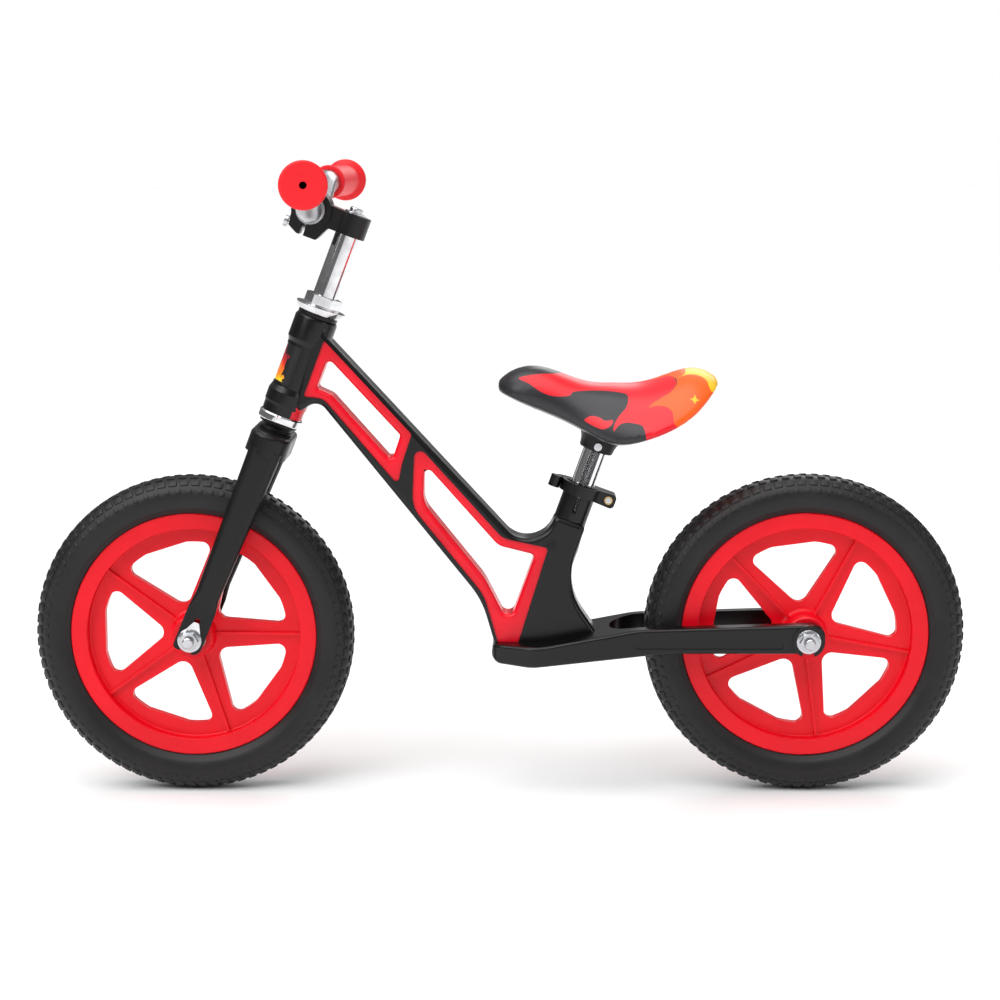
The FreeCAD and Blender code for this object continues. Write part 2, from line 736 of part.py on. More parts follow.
def make_plate():
    body = new_body("frame_plate")
    half = "size.plateHalfWidth"
    nose = "size.plateNoseX"
    shoulder = "size.shoulderX"
    blunt = "size.noseHalfWidth"
    extrude(body, "Pad", outline(body, "XY_Plane", [
        (nose, f"-{blunt}", "size.noseRound"),
        (shoulder, f"-{half}", "size.shoulderRound"),
        ("place.stayEndX", f"-{half}"),
        ("place.stayEndX", half),
        (shoulder, half, "size.shoulderRound"),
        (nose, blunt, "size.noseRound"),
    ]), "2 * (place.axleZ + 2 * size.stayTopRise)")
    profile = new_sketch(body, "XZ_Plane")
    draw_outline(profile, [
        (f"{nose} + size.noseSlant", "place.axleZ - size.plateTopDrop", "4"),
        ("size.plateBendX", "place.axleZ - size.plateTopDrop + 1", "size.plateBendRound"),
        ("size.plateTopBendX", "place.axleZ + size.stayTopRise - 4.5", "size.plateBendRound"),
        ("place.stayEndX", "place.axleZ + size.stayTopRise", "size.stayTailRound"),
        ("place.stayEndX", "place.axleZ - size.stayBottomDrop", "size.stayTailRound"),
        ("size.plateUnderBendX", "place.axleZ - size.stayBottomDrop", "size.plateBendRound"),
        ("size.shoulderX", "place.axleZ - size.plateBottomDrop", "60"),
        (f"{nose} + 1", "place.axleZ - size.plateBottomDrop + 1.5", "9"),
    ])
    draw_outline(profile, [
        (f"{nose} - 10", "-place.axleZ * 2"),
        ("place.stayEndX + 10", "-place.axleZ * 2"),
        ("place.stayEndX + 10", "place.axleZ * 2"),
        (f"{nose} - 10", "place.axleZ * 2"),
    ])
    extrude(body, "Pocket", profile, f"2 * {half} + 2")
    flat = number(half)
    dress(body, "Fillet", "size.plateRound", lambda edge: rim_edge(edge, flat))
    extrude(body, "Pad", circle(body, "XZ_Plane", "place.rearAxleX", "place.axleZ", "size.endBossRadius"),
            f"2 * ({half} + size.endBossHeight)")
    extrude(body, "Pocket", outline(body, "XY_Plane", [
        ("place.slotFrontX", "-place.stayInner", "size.cutoutRound"),
        ("place.stayEndX + 5", "-place.stayInner"),
        ("place.stayEndX + 5", "place.stayInner"),
        ("place.slotFrontX", "place.stayInner", "size.cutoutRound"),
    ]), "4 * place.axleZ")
    slot = "(size.axleRadius + size.slotClearance)"
    extrude(body, "Pocket", outline(body, "XZ_Plane", [
        (f"place.rearAxleX - {slot}", "place.axleZ - 2 * size.stayBottomDrop"),
        (f"place.rearAxleX - {slot}", f"place.axleZ + {slot}", f"0.96 * {slot}"),
        (f"place.rearAxleX + {slot}", f"place.axleZ + {slot}", f"0.96 * {slot}"),
        (f"place.rearAxleX + {slot}", "place.axleZ - 2 * size.stayBottomDrop"),
    ]), f"2 * {half} + 10")
    groove = [
        ("place.slotFrontX + size.grooveStart", "place.axleZ - size.grooveDrop - size.grooveHalfHeight", "3"),
        ("place.rearAxleX - size.grooveEnd", "place.axleZ - size.grooveDrop - size.grooveHalfHeight", "3"),
        ("place.rearAxleX - size.grooveEnd", "place.axleZ - size.grooveDrop + size.grooveHalfHeight", "3"),
        ("place.slotFrontX + size.grooveStart", "place.axleZ - size.grooveDrop + size.grooveHalfHeight", "3"),
    ]
    floor = f"{half} - size.grooveDepth"
    extrude(body, "Pocket", outline(body, "XZ_Plane", groove, floor), "size.grooveDepth + 1", False, True)
    extrude(body, "Pocket", outline(body, "XZ_Plane", groove, f"-({floor})"), "size.grooveDepth + 1", False)
    return body


def rim_edge(edge, half_width):
    """An edge along the plate's or a stay's outer side."""
    if len(edge.Vertexes) != 2:
        return False
    first, last = edge.Vertexes
    on_side = all(abs(abs(vertex.Y) - half_width) < 0.01 for vertex in (first, last))
    return on_side and abs(first.Y - last.Y) < 0.01 and abs(first.X - last.X) > 1


def make_head_tube():
    low = "size.headTubeBottom"
    high = "size.headTubeTop"
    waist = "size.headWaistRadius"
    collar = "size.headCollarRadius"
    tube = turned("frame_head_tube", [
        ("0", low),
        (f"{collar} - 0.8", low),
        (f"{collar} - 0.8", f"{low} + 7"),
        (collar, f"{low} + 10", "2"),
        (collar, f"{low} + 20", "2"),
        (waist, f"{low} + 25", "3"),
        (waist, f"{high} - 26", "3"),
        (collar, f"{high} - 22", "2"),
        (collar, f"{high} - 2"),
        (f"{collar} - 1", high),
        ("0", high),
    ])
    return on_steering(tube)


def make_badge_cut():
    """The shallow panel sunk in the front of the head tube."""
    body = new_body("badge_cut")
    floor = "size.headWaistRadius - size.badgeDepth"
    sketch = outline(body, "XZ_Plane", [
        (f"-({floor})", "size.badgeBottom"),
        ("-size.headWaistRadius - 2", "size.badgeBottom"),
        ("-size.headWaistRadius - 2", "size.badgeTop"),
        (f"-({floor})", "size.badgeTop"),
    ])
    turn(body, "Revolution", sketch, number("size.badgeSweep"))
    return on_steering(body)


def make_seat_tube():
    tube = turned("frame_seat_tube", [
        ("0", "-size.seatTubeRoot"),
        ("size.seatTubeFlare", "-size.seatTubeRoot"),
        ("size.seatTubeFlare", "-size.webShoulder - 24", "40"),
        ("size.seatTubeRadius", "-size.webShoulder", "40"),
        ("size.seatTubeRadius", "0"),
        ("0", "0"),
    ])
    return on_seat_tube(tube)


def make_seat_slot():
    """The clamping slot in the left side of the seat tube."""
    body = new_body("seat_slot")
    half = "size.seatSlotWidth / 2"
    extrude(body, "Pad", outline(body, "XZ_Plane", [
        (f"-{half}", "1"),
        (f"-{half}", "-size.seatSlotLength", f"0.96 * {half}"),
        (half, "-size.seatSlotLength", f"0.96 * {half}"),
        (half, "1"),
    ]), "size.seatTubeFlare + 4", both=False)
    return on_seat_tube(body)


def make_frame_casting():
    solid = fused("frame_solid", [make_web(), make_plate(), make_head_tube(), make_seat_tube()])
    head_bore = on_steering(rod("head_bore", "size.headBore", "size.headTubeBottom - 1", "size.headTubeTop + 1"))
    seat_bore = on_seat_tube(rod("seat_bore", "size.tubeRadius + size.tubeClearance", "-size.seatBoreDepth", "1"))
    plug_face = "size.webThickness / 2"
    socket = side_rod("plug_socket", "size.plugRadius", f"{plug_face} - size.plugDepth", f"{plug_face} + 5")
    cuts = fused("frame_cuts", [head_bore, seat_bore, make_seat_slot(), make_badge_cut(), socket])
    keep("frame_casting", boolean("frame_casting", "Cut", solid, cuts))
    plug = side_rod("frame_plug", "size.plugRadius", f"{plug_face} - size.plugDepth", f"{plug_face} + 0.5")
    dress(plug, "Chamfer", "0.4", lambda edge: edge.BoundBox.YMax < -number(plug_face))
    keep("frame_plug", plug)


def side_rod(label, radius, low, high):
    """A cylinder in the left side of the web, between two distances from the mid-plane."""
    body = new_body(label)
    centre = seat_point("size.plugDown", "size.plugOffset")
    extrude(body, "Pad", circle(body, "XZ_Plane", *centre, radius, low), f"({high}) - ({low})", both=False)
    return body


# Axles, bearings and nuts ----------------------------------------------------------------------

def make_axle_set(end, seat, inner):
    """An axle with its nuts, spacers and the standing halves of its bearings."""
    half = f"({seat} + size.nutHeight + size.axleTail)"
    radius = "size.axleRadius"
    tip = "1"
    axle = turned(f"{end}_axle", [
        ("0", f"-{half}"),
        (f"{radius} - {tip}", f"-{half}"),
        (radius, f"-{half} + {tip}"),
        (radius, f"{half} - {tip}"),
        (f"{radius} - {tip}", half),
        ("0", half),
    ])
    keep(f"{end}_axle", on_axle(axle, end))
    nut = hex_nut(f"{end}_axle_nut", "size.nutAcrossFlats", radius, seat, "size.nutHeight",
                  "size.nutFlangeRadius", "size.nutFlangeHeight")
    keep_pair(f"{end}_axle_nuts", on_axle(nut, end))
    spacer = ring(f"{end}_spacer", radius, f"{radius} + 3", "size.hubHalfWidth", inner)
    keep_pair(f"{end}_axle_spacers", on_axle(spacer, end))
    low = "size.hubHalfWidth - size.bearingWidth"
    sleeve = ring(f"{end}_hub_sleeve", radius, f"{radius} + 1.6", f"-({low})", low)
    keep(f"{end}_hub_sleeve", on_axle(sleeve, end))
    race = ring(f"{end}_inner_race", radius, f"{radius} + size.bearingRaceWall", low, "size.hubHalfWidth")
    keep_pair(f"{end}_bearing_inner_races", on_axle(race, end))


def make_front_washers():
    """The retaining washers, each with a tab that hooks into the fork end."""
    low = "size.tipInner + size.tipThickness"
    body = new_body("front_tab_washer")
    sketch = circle(body, "XY_Plane", "0", "0", "size.washerRadius", low)
    extrude(body, "Pad", sketch, "size.washerThickness", both=False)
    tab = "size.washerTabHalfWidth"
    extrude(body, "Pad", outline(body, "XY_Plane", [
        ("-size.washerRadius + 0.4", "-3"),
        (f"-{tab}", "-size.washerTabLength", "2"),
        (tab, "-size.washerTabLength", "2"),
        ("size.washerRadius - 0.4", "-3"),
    ], low), "size.washerThickness", both=False)
    extrude(body, "Pocket", circle(body, "XY_Plane", "0", "0", "size.axleRadius", low),
            "4 * size.washerThickness")
    turn_to_leg(body)
    keep_pair("front_tab_washers", body)


def turn_to_leg(body):
    """Puts a piece on the front axle with its own -Y side up along the fork leg."""
    upright = FreeCAD.Rotation(FreeCAD.Vector(1, 0, 0), -90)
    lean = FreeCAD.Rotation(FreeCAD.Vector(0, 1, 0), number("place.legAngle"))
    base = FreeCAD.Vector(number("place.frontAxleX"), 0, number("place.axleZ"))
    body.Placement = FreeCAD.Placement(base, lean * upright)


# Wheels ----------------------------------------------------------------------------------------

def polar(radius, angle):
    return f"({radius}) * cos({angle})", f"({radius}) * sin({angle})"


def beside_spoke(angle, radius, offset):
    """A point on a spoke's side: radius along the spoke at an angle, offset across it."""
    return (f"({radius}) * cos({angle}) - ({offset}) * sin({angle})",
            f"({radius}) * sin({angle}) + ({offset}) * cos({angle})")


def make_wheel(end):
    body = new_body(f"{end}_wheel")
    hub = "size.hubHalfWidth"
    disc = "size.wheelDiscThickness / 2"
    seat = f"{hub} - size.bearingWidth"
    bore = "size.hubBore"
    turn(body, "Revolution", outline(body, "XZ_Plane", [
        (bore, f"-({seat})"),
        ("size.bearingRadius", f"-({seat})"),
        ("size.bearingRadius", f"-{hub}"),
        ("size.hubRadius - 1.5", f"-{hub}"),
        ("size.hubRadius", f"-{hub} + 1.5"),
        ("size.hubRadius", f"-{disc}", "5"),
        ("size.rimInnerRadius + 1", f"-{disc}"),
        ("size.rimInnerRadius + 1", disc),
        ("size.hubRadius", disc, "5"),
        ("size.hubRadius", f"{hub} - 1.5"),
        ("size.hubRadius - 1.5", hub),
        ("size.bearingRadius", hub),
        ("size.bearingRadius", seat),
        (bore, seat),
    ]))
    here = f"size.{end}WheelTurn"
    there = f"{here} + place.spokePitch"
    far = "size.rimInnerRadius - 2"
    wide = "size.windowOuterWidth"
    window = extrude(body, "Pocket", outline(body, "XY_Plane", [
        rounded(polar("place.windowApex", f"{here} + place.spokePitch / 2"), "size.windowRound"),
        beside_spoke(here, far, wide),
        beside_spoke(there, far, f"-{wide}"),
    ]), "2 * size.wheelDiscThickness")
    repeat(body, window, "size.spokeCount")
    rim = "size.rimHalfWidth"
    inner = "size.rimInnerRadius"
    bed = f"{inner} + size.rimWall"
    turn(body, "Revolution", outline(body, "XZ_Plane", [
        ("size.ringInnerRadius", f"-{disc}"),
        (inner, f"-{disc}", "2"),
        (f"{inner} - 0.6", f"-{rim}", "size.rimRound"),
        ("size.rimEdgeRadius", f"-{rim}", "size.rimRound"),
        ("size.rimEdgeRadius", f"-{rim} + size.rimLip", "size.rimRound"),
        (bed, f"-{rim} + size.rimLip + 1"),
        (bed, f"{rim} - size.rimLip - 1"),
        ("size.rimEdgeRadius", f"{rim} - size.rimLip", "size.rimRound"),
        ("size.rimEdgeRadius", rim, "size.rimRound"),
        (f"{inner} - 0.6", rim, "size.rimRound"),
        (inner, disc, "2"),
        ("size.ringInnerRadius", disc),
    ]))
    valve = f"{here} + size.{end}ValvePlace * place.spokePitch"
    wide = "size.valveBossHalfWidth"
    ring_edge = "size.ringInnerRadius"
    reach = number(ring_edge)
    dress(body, "Fillet", "size.ringRound", lambda edge: is_upright(edge) and
          abs(math.hypot(edge.Vertexes[0].X, edge.Vertexes[0].Y) - reach) < 0.5)
    extrude(body, "Pad", outline(body, "XY_Plane", [
        beside_spoke(valve, f"{ring_edge} - size.valveBossRise", f"-{wide}"),
        beside_spoke(valve, f"{ring_edge} - size.valveBossRise", wide),
        beside_spoke(valve, f"{ring_edge} + 2", f"2 * {wide}"),
        beside_spoke(valve, f"{ring_edge} + 2", f"-2 * {wide}"),
    ]), "size.wheelDiscThickness")
    rib = extrude(body, "Pad", outline(body, "XY_Plane", [
        beside_spoke(here, "size.hubRadius - 1", "-size.ribThickness / 2"),
        beside_spoke(here, f"{inner} + 1", "-size.ribThickness / 2"),
        beside_spoke(here, f"{inner} + 1", "size.ribThickness / 2"),
        beside_spoke(here, "size.hubRadius - 1", "size.ribThickness / 2"),
    ]), "2 * size.ribHalfHeight")
    repeat(body, rib, "size.spokeCount")
    keep(f"{end}_wheel_rim", on_axle(body, end))


def is_upright(edge):
    ends = edge.Vertexes
    return len(ends) == 2 and math.hypot(ends[0].X - ends[1].X, ends[0].Y - ends[1].Y) < 0.01


def make_tyre(end):
    half = "size.tyreHalfWidth"
    rim = "size.rimHalfWidth"
    edge = "size.rimEdgeRadius"
    bed = "size.rimInnerRadius + size.rimWall"
    tyre = turned(f"{end}_tyre_blank", [
        (bed, f"-{rim} + size.rimLip + 1"),
        (f"{edge} - 0.5", f"-{rim} + size.rimLip"),
        (f"{edge} + 0.2", f"-{rim}"),
        ("size.tyreRadius - 17", f"-{half}", "12"),
        ("size.tyreRadius", f"-{half} + 4", "12"),
        ("size.tyreRadius", f"{half} - 4", "12"),
        ("size.tyreRadius - 17", half, "12"),
        (f"{edge} + 0.2", rim),
        (f"{edge} - 0.5", f"{rim} - size.rimLip"),
        (bed, f"{rim} - size.rimLip - 1"),
    ])
    rim_body = document.getObject(f"{end}_wheel")
    keep(f"{end}_tyre", boolean(f"{end}_tyre_seated", "Cut", on_axle(tyre, end), rim_body))


def make_wheel_bearings(end):
    outer = "size.bearingRadius"
    low = "size.hubHalfWidth - size.bearingWidth"
    race = ring(f"{end}_outer_race", f"{outer} - size.bearingRaceWall", outer, low, "size.hubHalfWidth")
    keep_pair(f"{end}_bearing_outer_races", on_axle(race, end))
    balls = ball_ring(f"{end}_balls", "size.bearingBallCount", "place.raceBall", "place.raceMiddle",
                      "size.hubHalfWidth - size.bearingWidth / 2")
    keep_pair(f"{end}_bearing_balls", on_axle(balls, end))


# Fork ------------------------------------------------------------------------------------------

def make_fork():
    steerer = ring("steerer_tube", "size.tubeRadius + size.tubeClearance", "size.steererRadius",
                   "-size.crownHeight", "size.headTubeTop + size.steererAbove")
    keep("steerer_tube", on_steering(steerer))
    crown = new_body("fork_crown_block")
    deep = "size.crownHalfDepth"
    wide = "size.crownHalfWidth"
    corner = f"0.97 * {deep}"
    extrude(crown, "Pad", outline(crown, "XY_Plane", [
        (f"-{deep}", f"-{wide}", corner),
        (deep, f"-{wide}", corner),
        (deep, wide, corner),
        (f"-{deep}", wide, corner),
    ]), "size.crownHeight", both=False, away=True)
    dress(crown, "Fillet", "size.crownRound", lambda edge: all(abs(point.Z) < 0.01 for point in edge.Vertexes))
    extrude(crown, "Pocket", circle(crown, "XY_Plane", "0", "0", "size.steererRadius"),
            "4 * size.crownHeight")
    keep("fork_crown", on_steering(crown))
    make_leg(crown)


def leg_section(body, depth, thickness, height, centre):
    half = f"{depth} / 2"
    near = f"-({centre}) - {thickness} / 2"
    far = f"-({centre}) + {thickness} / 2"
    corner = f"0.46 * {thickness}"
    return outline(body, "XY_Plane", [
        (f"-{half}", near, corner),
        (half, near, corner),
        (half, far, corner),
        (f"-{half}", far, corner),
    ], height)


def loft(body, first, second):
    feature = body.newObject("PartDesign::AdditiveLoft", "loft")
    feature.Profile = first
    feature.Sections = [second]
    feature.Ruled = True
    document.recompute()
    return feature


def make_leg(crown):
    body = new_body("fork_leg")
    low = "size.legTaperEnd"
    flat = "size.tipTop"
    plate_centre = "size.tipInner + size.tipThickness / 2"
    upper = leg_section(body, "size.legTopDepth", "size.legTopThickness", "place.legLength + 6", "size.legCentre")
    middle = leg_section(body, "size.legLowDepth", "size.legLowThickness", low, "size.legCentre")
    loft(body, middle, upper)
    middle_again = leg_section(body, "size.legLowDepth", "size.legLowThickness", low, "size.legCentre")
    end = leg_section(body, "size.tipDepth", "size.tipThickness", flat, plate_centre)
    loft(body, end, middle_again)
    half = "size.tipDepth / 2"
    extrude(body, "Pad", outline(body, "XZ_Plane", [
        (f"-{half}", f"{flat} + 0.5"),
        (f"-{half}", "-size.tipTail", "4"),
        (half, "-size.tipTail", "8"),
        (half, f"{flat} + 0.5"),
    ], "size.tipInner"), "size.tipThickness", both=False)
    slot = "(size.axleRadius + size.slotClearance)"
    extrude(body, "Pocket", outline(body, "XZ_Plane", [
        (f"-{slot}", "-2 * size.tipTail"),
        (f"-{slot}", slot, f"0.96 * {slot}"),
        (slot, slot, f"0.96 * {slot}"),
        (slot, "-2 * size.tipTail"),
    ]), "4 * size.tipInner")
    hole = circle(body, "XZ_Plane", "0", "size.tipHoleHeight", "size.tipHoleRadius")
    extrude(body, "Pocket", hole, "4 * size.tipInner")
    on_leg(body)
    left = boolean("left_fork_leg", "Cut", body, crown)
    keep("left_fork_leg", left)
    keep("right_fork_leg", mirrored(left))


# Head set --------------------------------------------------------------------------------------

def make_head_set():
    bore = "size.headBore"
    skirt = "size.cupSkirtInner"
    low = "size.headTubeBottom"
    high = "size.headTubeTop"
    steerer = "size.steererRadius"
    lip = "size.lowerCupRadius"
    ball = "size.headBallRadius"
    gap = "size.ballGap"
    pitch = "size.headBallPitch"
    level = f"{low} - 5.6"
    ceiling = f"{level} + {ball} + {gap}"
    keep("lower_head_cup", on_steering(turned("lower_head_cup", [
        (skirt, ceiling),
        (f"{pitch} + {ball} + {gap}", ceiling),
        (f"{pitch} + {ball} + {gap}", f"{level} - {ball}"),
        (f"{lip} - 0.8", f"{level} - {ball}"),
        (lip, f"{level} - {ball} + 1.2"),
        (lip, f"{low} - 1.4"),
        (f"{lip} - 1", low),
        (bore, low),
        (bore, f"{low} + size.cupSkirtLength"),
        (skirt, f"{low} + size.cupSkirtLength"),
    ])))
    keep("lower_head_balls", on_steering(ball_ring("lower_balls", "size.headBallCount", ball, pitch, level)))
    floor = f"{level} - {ball} - {gap}"
    keep("crown_race", on_steering(turned("crown_race", [
        (steerer, "0"),
        ("size.crownRaceRadius + 1.2", "0"),
        ("size.crownRaceRadius + 1.2", "1.6"),
        ("size.crownRaceRadius", "2.2"),
        ("size.crownRaceRadius", "3.4"),
        ("size.crownRaceRadius + 0.9", "4"),
        ("size.crownRaceRadius + 0.9", "5.2"),
        (f"{pitch} + 1.6", "6"),
        (f"{pitch} + 1.6", floor),
        (steerer, floor),
    ])))
    upper_level = f"{high} + 4.6"
    inner_pitch = f"{pitch} - size.upperPitchStep"
    upper_floor = f"{upper_level} - {ball} - {gap}"
    lip = "size.upperCupRadius"
    keep("upper_head_cup", on_steering(turned("upper_head_cup", [
        (skirt, f"{high} - size.cupSkirtLength"),
        (bore, f"{high} - size.cupSkirtLength"),
        (bore, high),
        (f"{lip} - 0.8", high),
        (lip, f"{high} + 1"),
        (lip, f"{high} + 4"),
        (f"{inner_pitch} + {ball} + {gap}", f"{high} + 4"),
        (f"{inner_pitch} + {ball} + {gap}", upper_floor),
        (skirt, upper_floor),
    ])))
    balls = ball_ring("upper_balls", "size.headBallCount", ball, inner_pitch, upper_level)
    keep("upper_head_balls", on_steering(balls))
    cone_low = f"{upper_level} + {ball} + {gap}"
    cone_high = f"{high} + size.coneTop"
    keep("upper_cone", on_steering(ring("upper_cone", steerer, f"{inner_pitch} + {ball}", cone_low, cone_high)))
    wall = "size.dustCoverWall"
    cover = "size.dustCoverRadius"
    keep("dust_cover", on_steering(turned("dust_cover", [
        (steerer, cone_high),
        (f"{cover} - 2.6", cone_high),
        (f"{lip} + 0.5", f"{high} + 5.2"),
        (f"{lip} + 0.5 + {wall}", f"{high} + 4.6"),
        (cover, f"{cone_high} - 0.5"),
        (cover, f"{cone_high} + {wall}"),
        (steerer, f"{cone_high} + {wall}"),
    ])))
    washer_low = f"{cone_high} + {wall}"
    washer_high = f"{washer_low} + size.keyWasherThickness"
    keep("keyed_washer", on_steering(ring("keyed_washer", steerer, f"{steerer} + 3.8", washer_low, washer_high)))
    nut = hex_nut("head_lock_nut", "size.lockNutAcrossFlats", steerer, washer_high, "size.lockNutHeight",
                  chamfer="1.6")
    keep("head_lock_nut", on_steering(nut))


# Stem and handlebar ----------------------------------------------------------------------------

def make_stem():
    tube = "size.tubeRadius"
    inside = f"{tube} - size.tubeWall"
    keep("quill_tube", on_steering(ring("quill_tube", inside, tube, "size.quillBottom", "size.stemTop - 2")))
    reach = "size.barReach"
    top = "size.stemTop"
    low = "size.stemBottom"
    arm = new_body("stem_arm")
    extrude(arm, "Pad", outline(arm, "XZ_Plane", [
        ("0", low),
        ("0", top),
        ("-size.expanderWasherRadius - 1", top),
        (f"-{reach}", f"{top} + 1"),
        (f"-{reach} - 17.4", "size.barHeight"),
        (f"-{reach} - 14.6", "size.clampLugBottom + 4.5", "2"),
        (f"-{reach} - 6", "size.clampLugBottom", "1.5"),
        (f"-{reach} + 12.2", "size.clampLugBottom", "2"),
        (f"-{reach} + 19", low, "3"),
    ]), "2 * size.stemArmHalfWidth")
    boss = rod("stem_boss", "size.stemBossRadius", low, top)
    clamp = new_body("stem_clamp")
    extrude(clamp, "Pad", circle(clamp, "XZ_Plane", f"-{reach}", "size.barHeight", "size.barClampRadius"),
            "2 * size.barClampHalfWidth")
    solid = fused("stem_solid", [arm, boss, clamp])
    cuts = new_body("stem_cuts")
    extrude(cuts, "Pad", circle(cuts, "XZ_Plane", f"-{reach}", "size.barHeight",
                                "size.barSleeveRadius + size.tubeClearance"), "4 * size.barClampHalfWidth")
    slit = "size.clampSlit / 2"
    extrude(cuts, "Pad", outline(cuts, "XZ_Plane", [
        (f"-{reach} - {slit} - 1.5", "size.clampLugBottom - 1"),
        (f"-{reach} + {slit} - 1.5", "size.clampLugBottom - 1"),
        (f"-{reach} + {slit} - 1.5", "size.barHeight - size.barSleeveRadius + 2"),
        (f"-{reach} - {slit} - 1.5", "size.barHeight - size.barSleeveRadius + 2"),
    ]), "4 * size.barClampHalfWidth")
    bore = rod("stem_bore", tube, "size.clampLugBottom", f"{top} - 2")
    bolt_hole = rod("stem_bolt_hole", "size.expanderRadius", top + " - 3", f"{top} + 1")
    lug_hole = clamp_rod("clamp_bolt_hole", "size.clampBoltRadius", "-20", "11")
    tools = fused("stem_tools", [cuts, bore, bolt_hole, lug_hole])
    keep("stem_head", on_steering(boolean("stem_head_cut", "Cut", solid, tools)))
    bolt = fused("clamp_bolt_solid", [
        clamp_rod("clamp_bolt_shank", "size.clampBoltRadius", "-17", "10"),
        clamp_rod("clamp_bolt_head", "size.clampBoltRadius * 1.8", "-20.4", "-17"),
    ])
    keep("bar_clamp_bolt", on_steering(bolt))
    wedge_low = "size.quillBottom - size.wedgeLength"
    expander = "size.expanderRadius"
    wedge = turned("expander_wedge", [
        (expander, wedge_low),
        (f"{tube} - 1", wedge_low),
        (tube, f"{wedge_low} + 1"),
        (tube, "size.quillBottom"),
        (expander, "size.quillBottom"),
    ])
    keep("expander_wedge", on_steering(wedge))
    keep("expander_bolt", on_steering(turned("expander_bolt", [
        ("0", f"{wedge_low} - 2"),
        (expander, f"{wedge_low} - 2"),
        (expander, f"{top} + size.expanderWasher"),
        ("size.expanderHeadRadius", f"{top} + size.expanderWasher"),
        ("size.expanderHeadRadius", f"{top} + size.expanderWasher + 3.4"),
        ("size.expanderHeadRadius - 0.8", f"{top} + size.expanderWasher + 4.2"),
        ("3", f"{top} + size.expanderWasher + 4.2"),
        ("3", f"{top} + size.expanderWasher + 1.6"),
        ("0", f"{top} + size.expanderWasher + 1.6"),
    ])))
    keep("expander_washer", on_steering(ring("expander_washer", expander, "size.expanderWasherRadius", top,
                                             f"{top} + size.expanderWasher")))


def clamp_rod(label, radius, low, high):
    """A cylinder along the line of the handlebar clamp's bolt, from behind the bar's centre line."""
    body = new_body(label)
    centre = "size.clampLugBottom + 6.4"
    sketch = circle(body, "YZ_Plane", "0", centre, radius, f"-size.barReach + ({low})")
    extrude(body, "Pad", sketch, f"({high}) - ({low})", both=False)
    return body


def bar_path(label, start):
    """The handlebar's centre line, as straight runs joined by tangent arcs, from side to side."""
    rise = number("size.barRise")
    share = 1 - start / (number("size.handlebarHalfWidth") - number("size.barSecondBend"))
    tip_sweep = share * number("size.barSweep") + number("size.barBendSweep")
    tip_rise = rise + share * number("size.barTipRise")
    points = [
        (tip_sweep, number("size.handlebarHalfWidth") - start, tip_rise),
        (number("size.barBendSweep"), number("size.barSecondBend"), rise),
        (0, number("size.barFirstBend"), 0),
    ]
    left = [FreeCAD.Vector(x, -y, z) for x, y, z in points]
    right = [FreeCAD.Vector(x, y, z) for x, y, z in reversed(points)]
    route = left + right
    bend = number("size.barBendRadius")
    edges = []
    last = route[0]
    for before, corner, after in zip(route, route[1:], route[2:]):
        entry, leave, centre = corner_cut(before, corner, after, bend)
        edges.append(Part.LineSegment(last, entry).toShape())
        middle = centre + (corner - centre).normalize() * bend
        edges.append(Part.Arc(entry, middle, leave).toShape())
        last = leave
    edges.append(Part.LineSegment(last, route[-1]).toShape())
    path = document.addObject("Part::Feature", label)
    path.Shape = Part.Wire(edges)
    return path


def bar_sweep(label, radius, start):
    path = bar_path(f"{label}_path", start)
    wire = path.Shape
    section = document.addObject("Part::Circle", f"{label}_section")
    section.setExpression("Radius", radius)
    first = wire.Edges[0]
    direction = first.tangentAt(first.FirstParameter)
    turn_to = FreeCAD.Rotation(FreeCAD.Vector(0, 0, 1), direction)
    section.Placement = FreeCAD.Placement(first.valueAt(first.FirstParameter), turn_to)
    sweep = document.addObject("Part::Sweep", label)
    sweep.Sections = [section]
    sweep.Spine = (path, [f"Edge{index}" for index in range(1, len(wire.Edges) + 1)])
    sweep.Solid = True
    document.recompute()
    return sweep


def on_bar_shift(item):
    """Moves a piece modelled about the bar's centre to its place in the stem."""
    return put(item, ("place.barX", "0", "place.barZ"), (0, 0, 1), "0")


def make_handlebar():
    wall = number("size.gripEndWall")
    outer = bar_sweep("bar_outside", "size.tubeRadius", wall)
    inner = bar_sweep("bar_inside", "size.tubeRadius - size.tubeWall", wall - 1)
    sleeve = rod("bar_sleeve", "size.barSleeveRadius", "-size.barSleeveHalfWidth", "size.barSleeveHalfWidth")
    put(sleeve, ("0", "0", "0"), (1, 0, 0), "-90")
    solid = fused("bar_solid", [outer, sleeve])
    keep("handlebar", on_bar_shift(boolean("handlebar_tube", "Cut", solid, inner)))


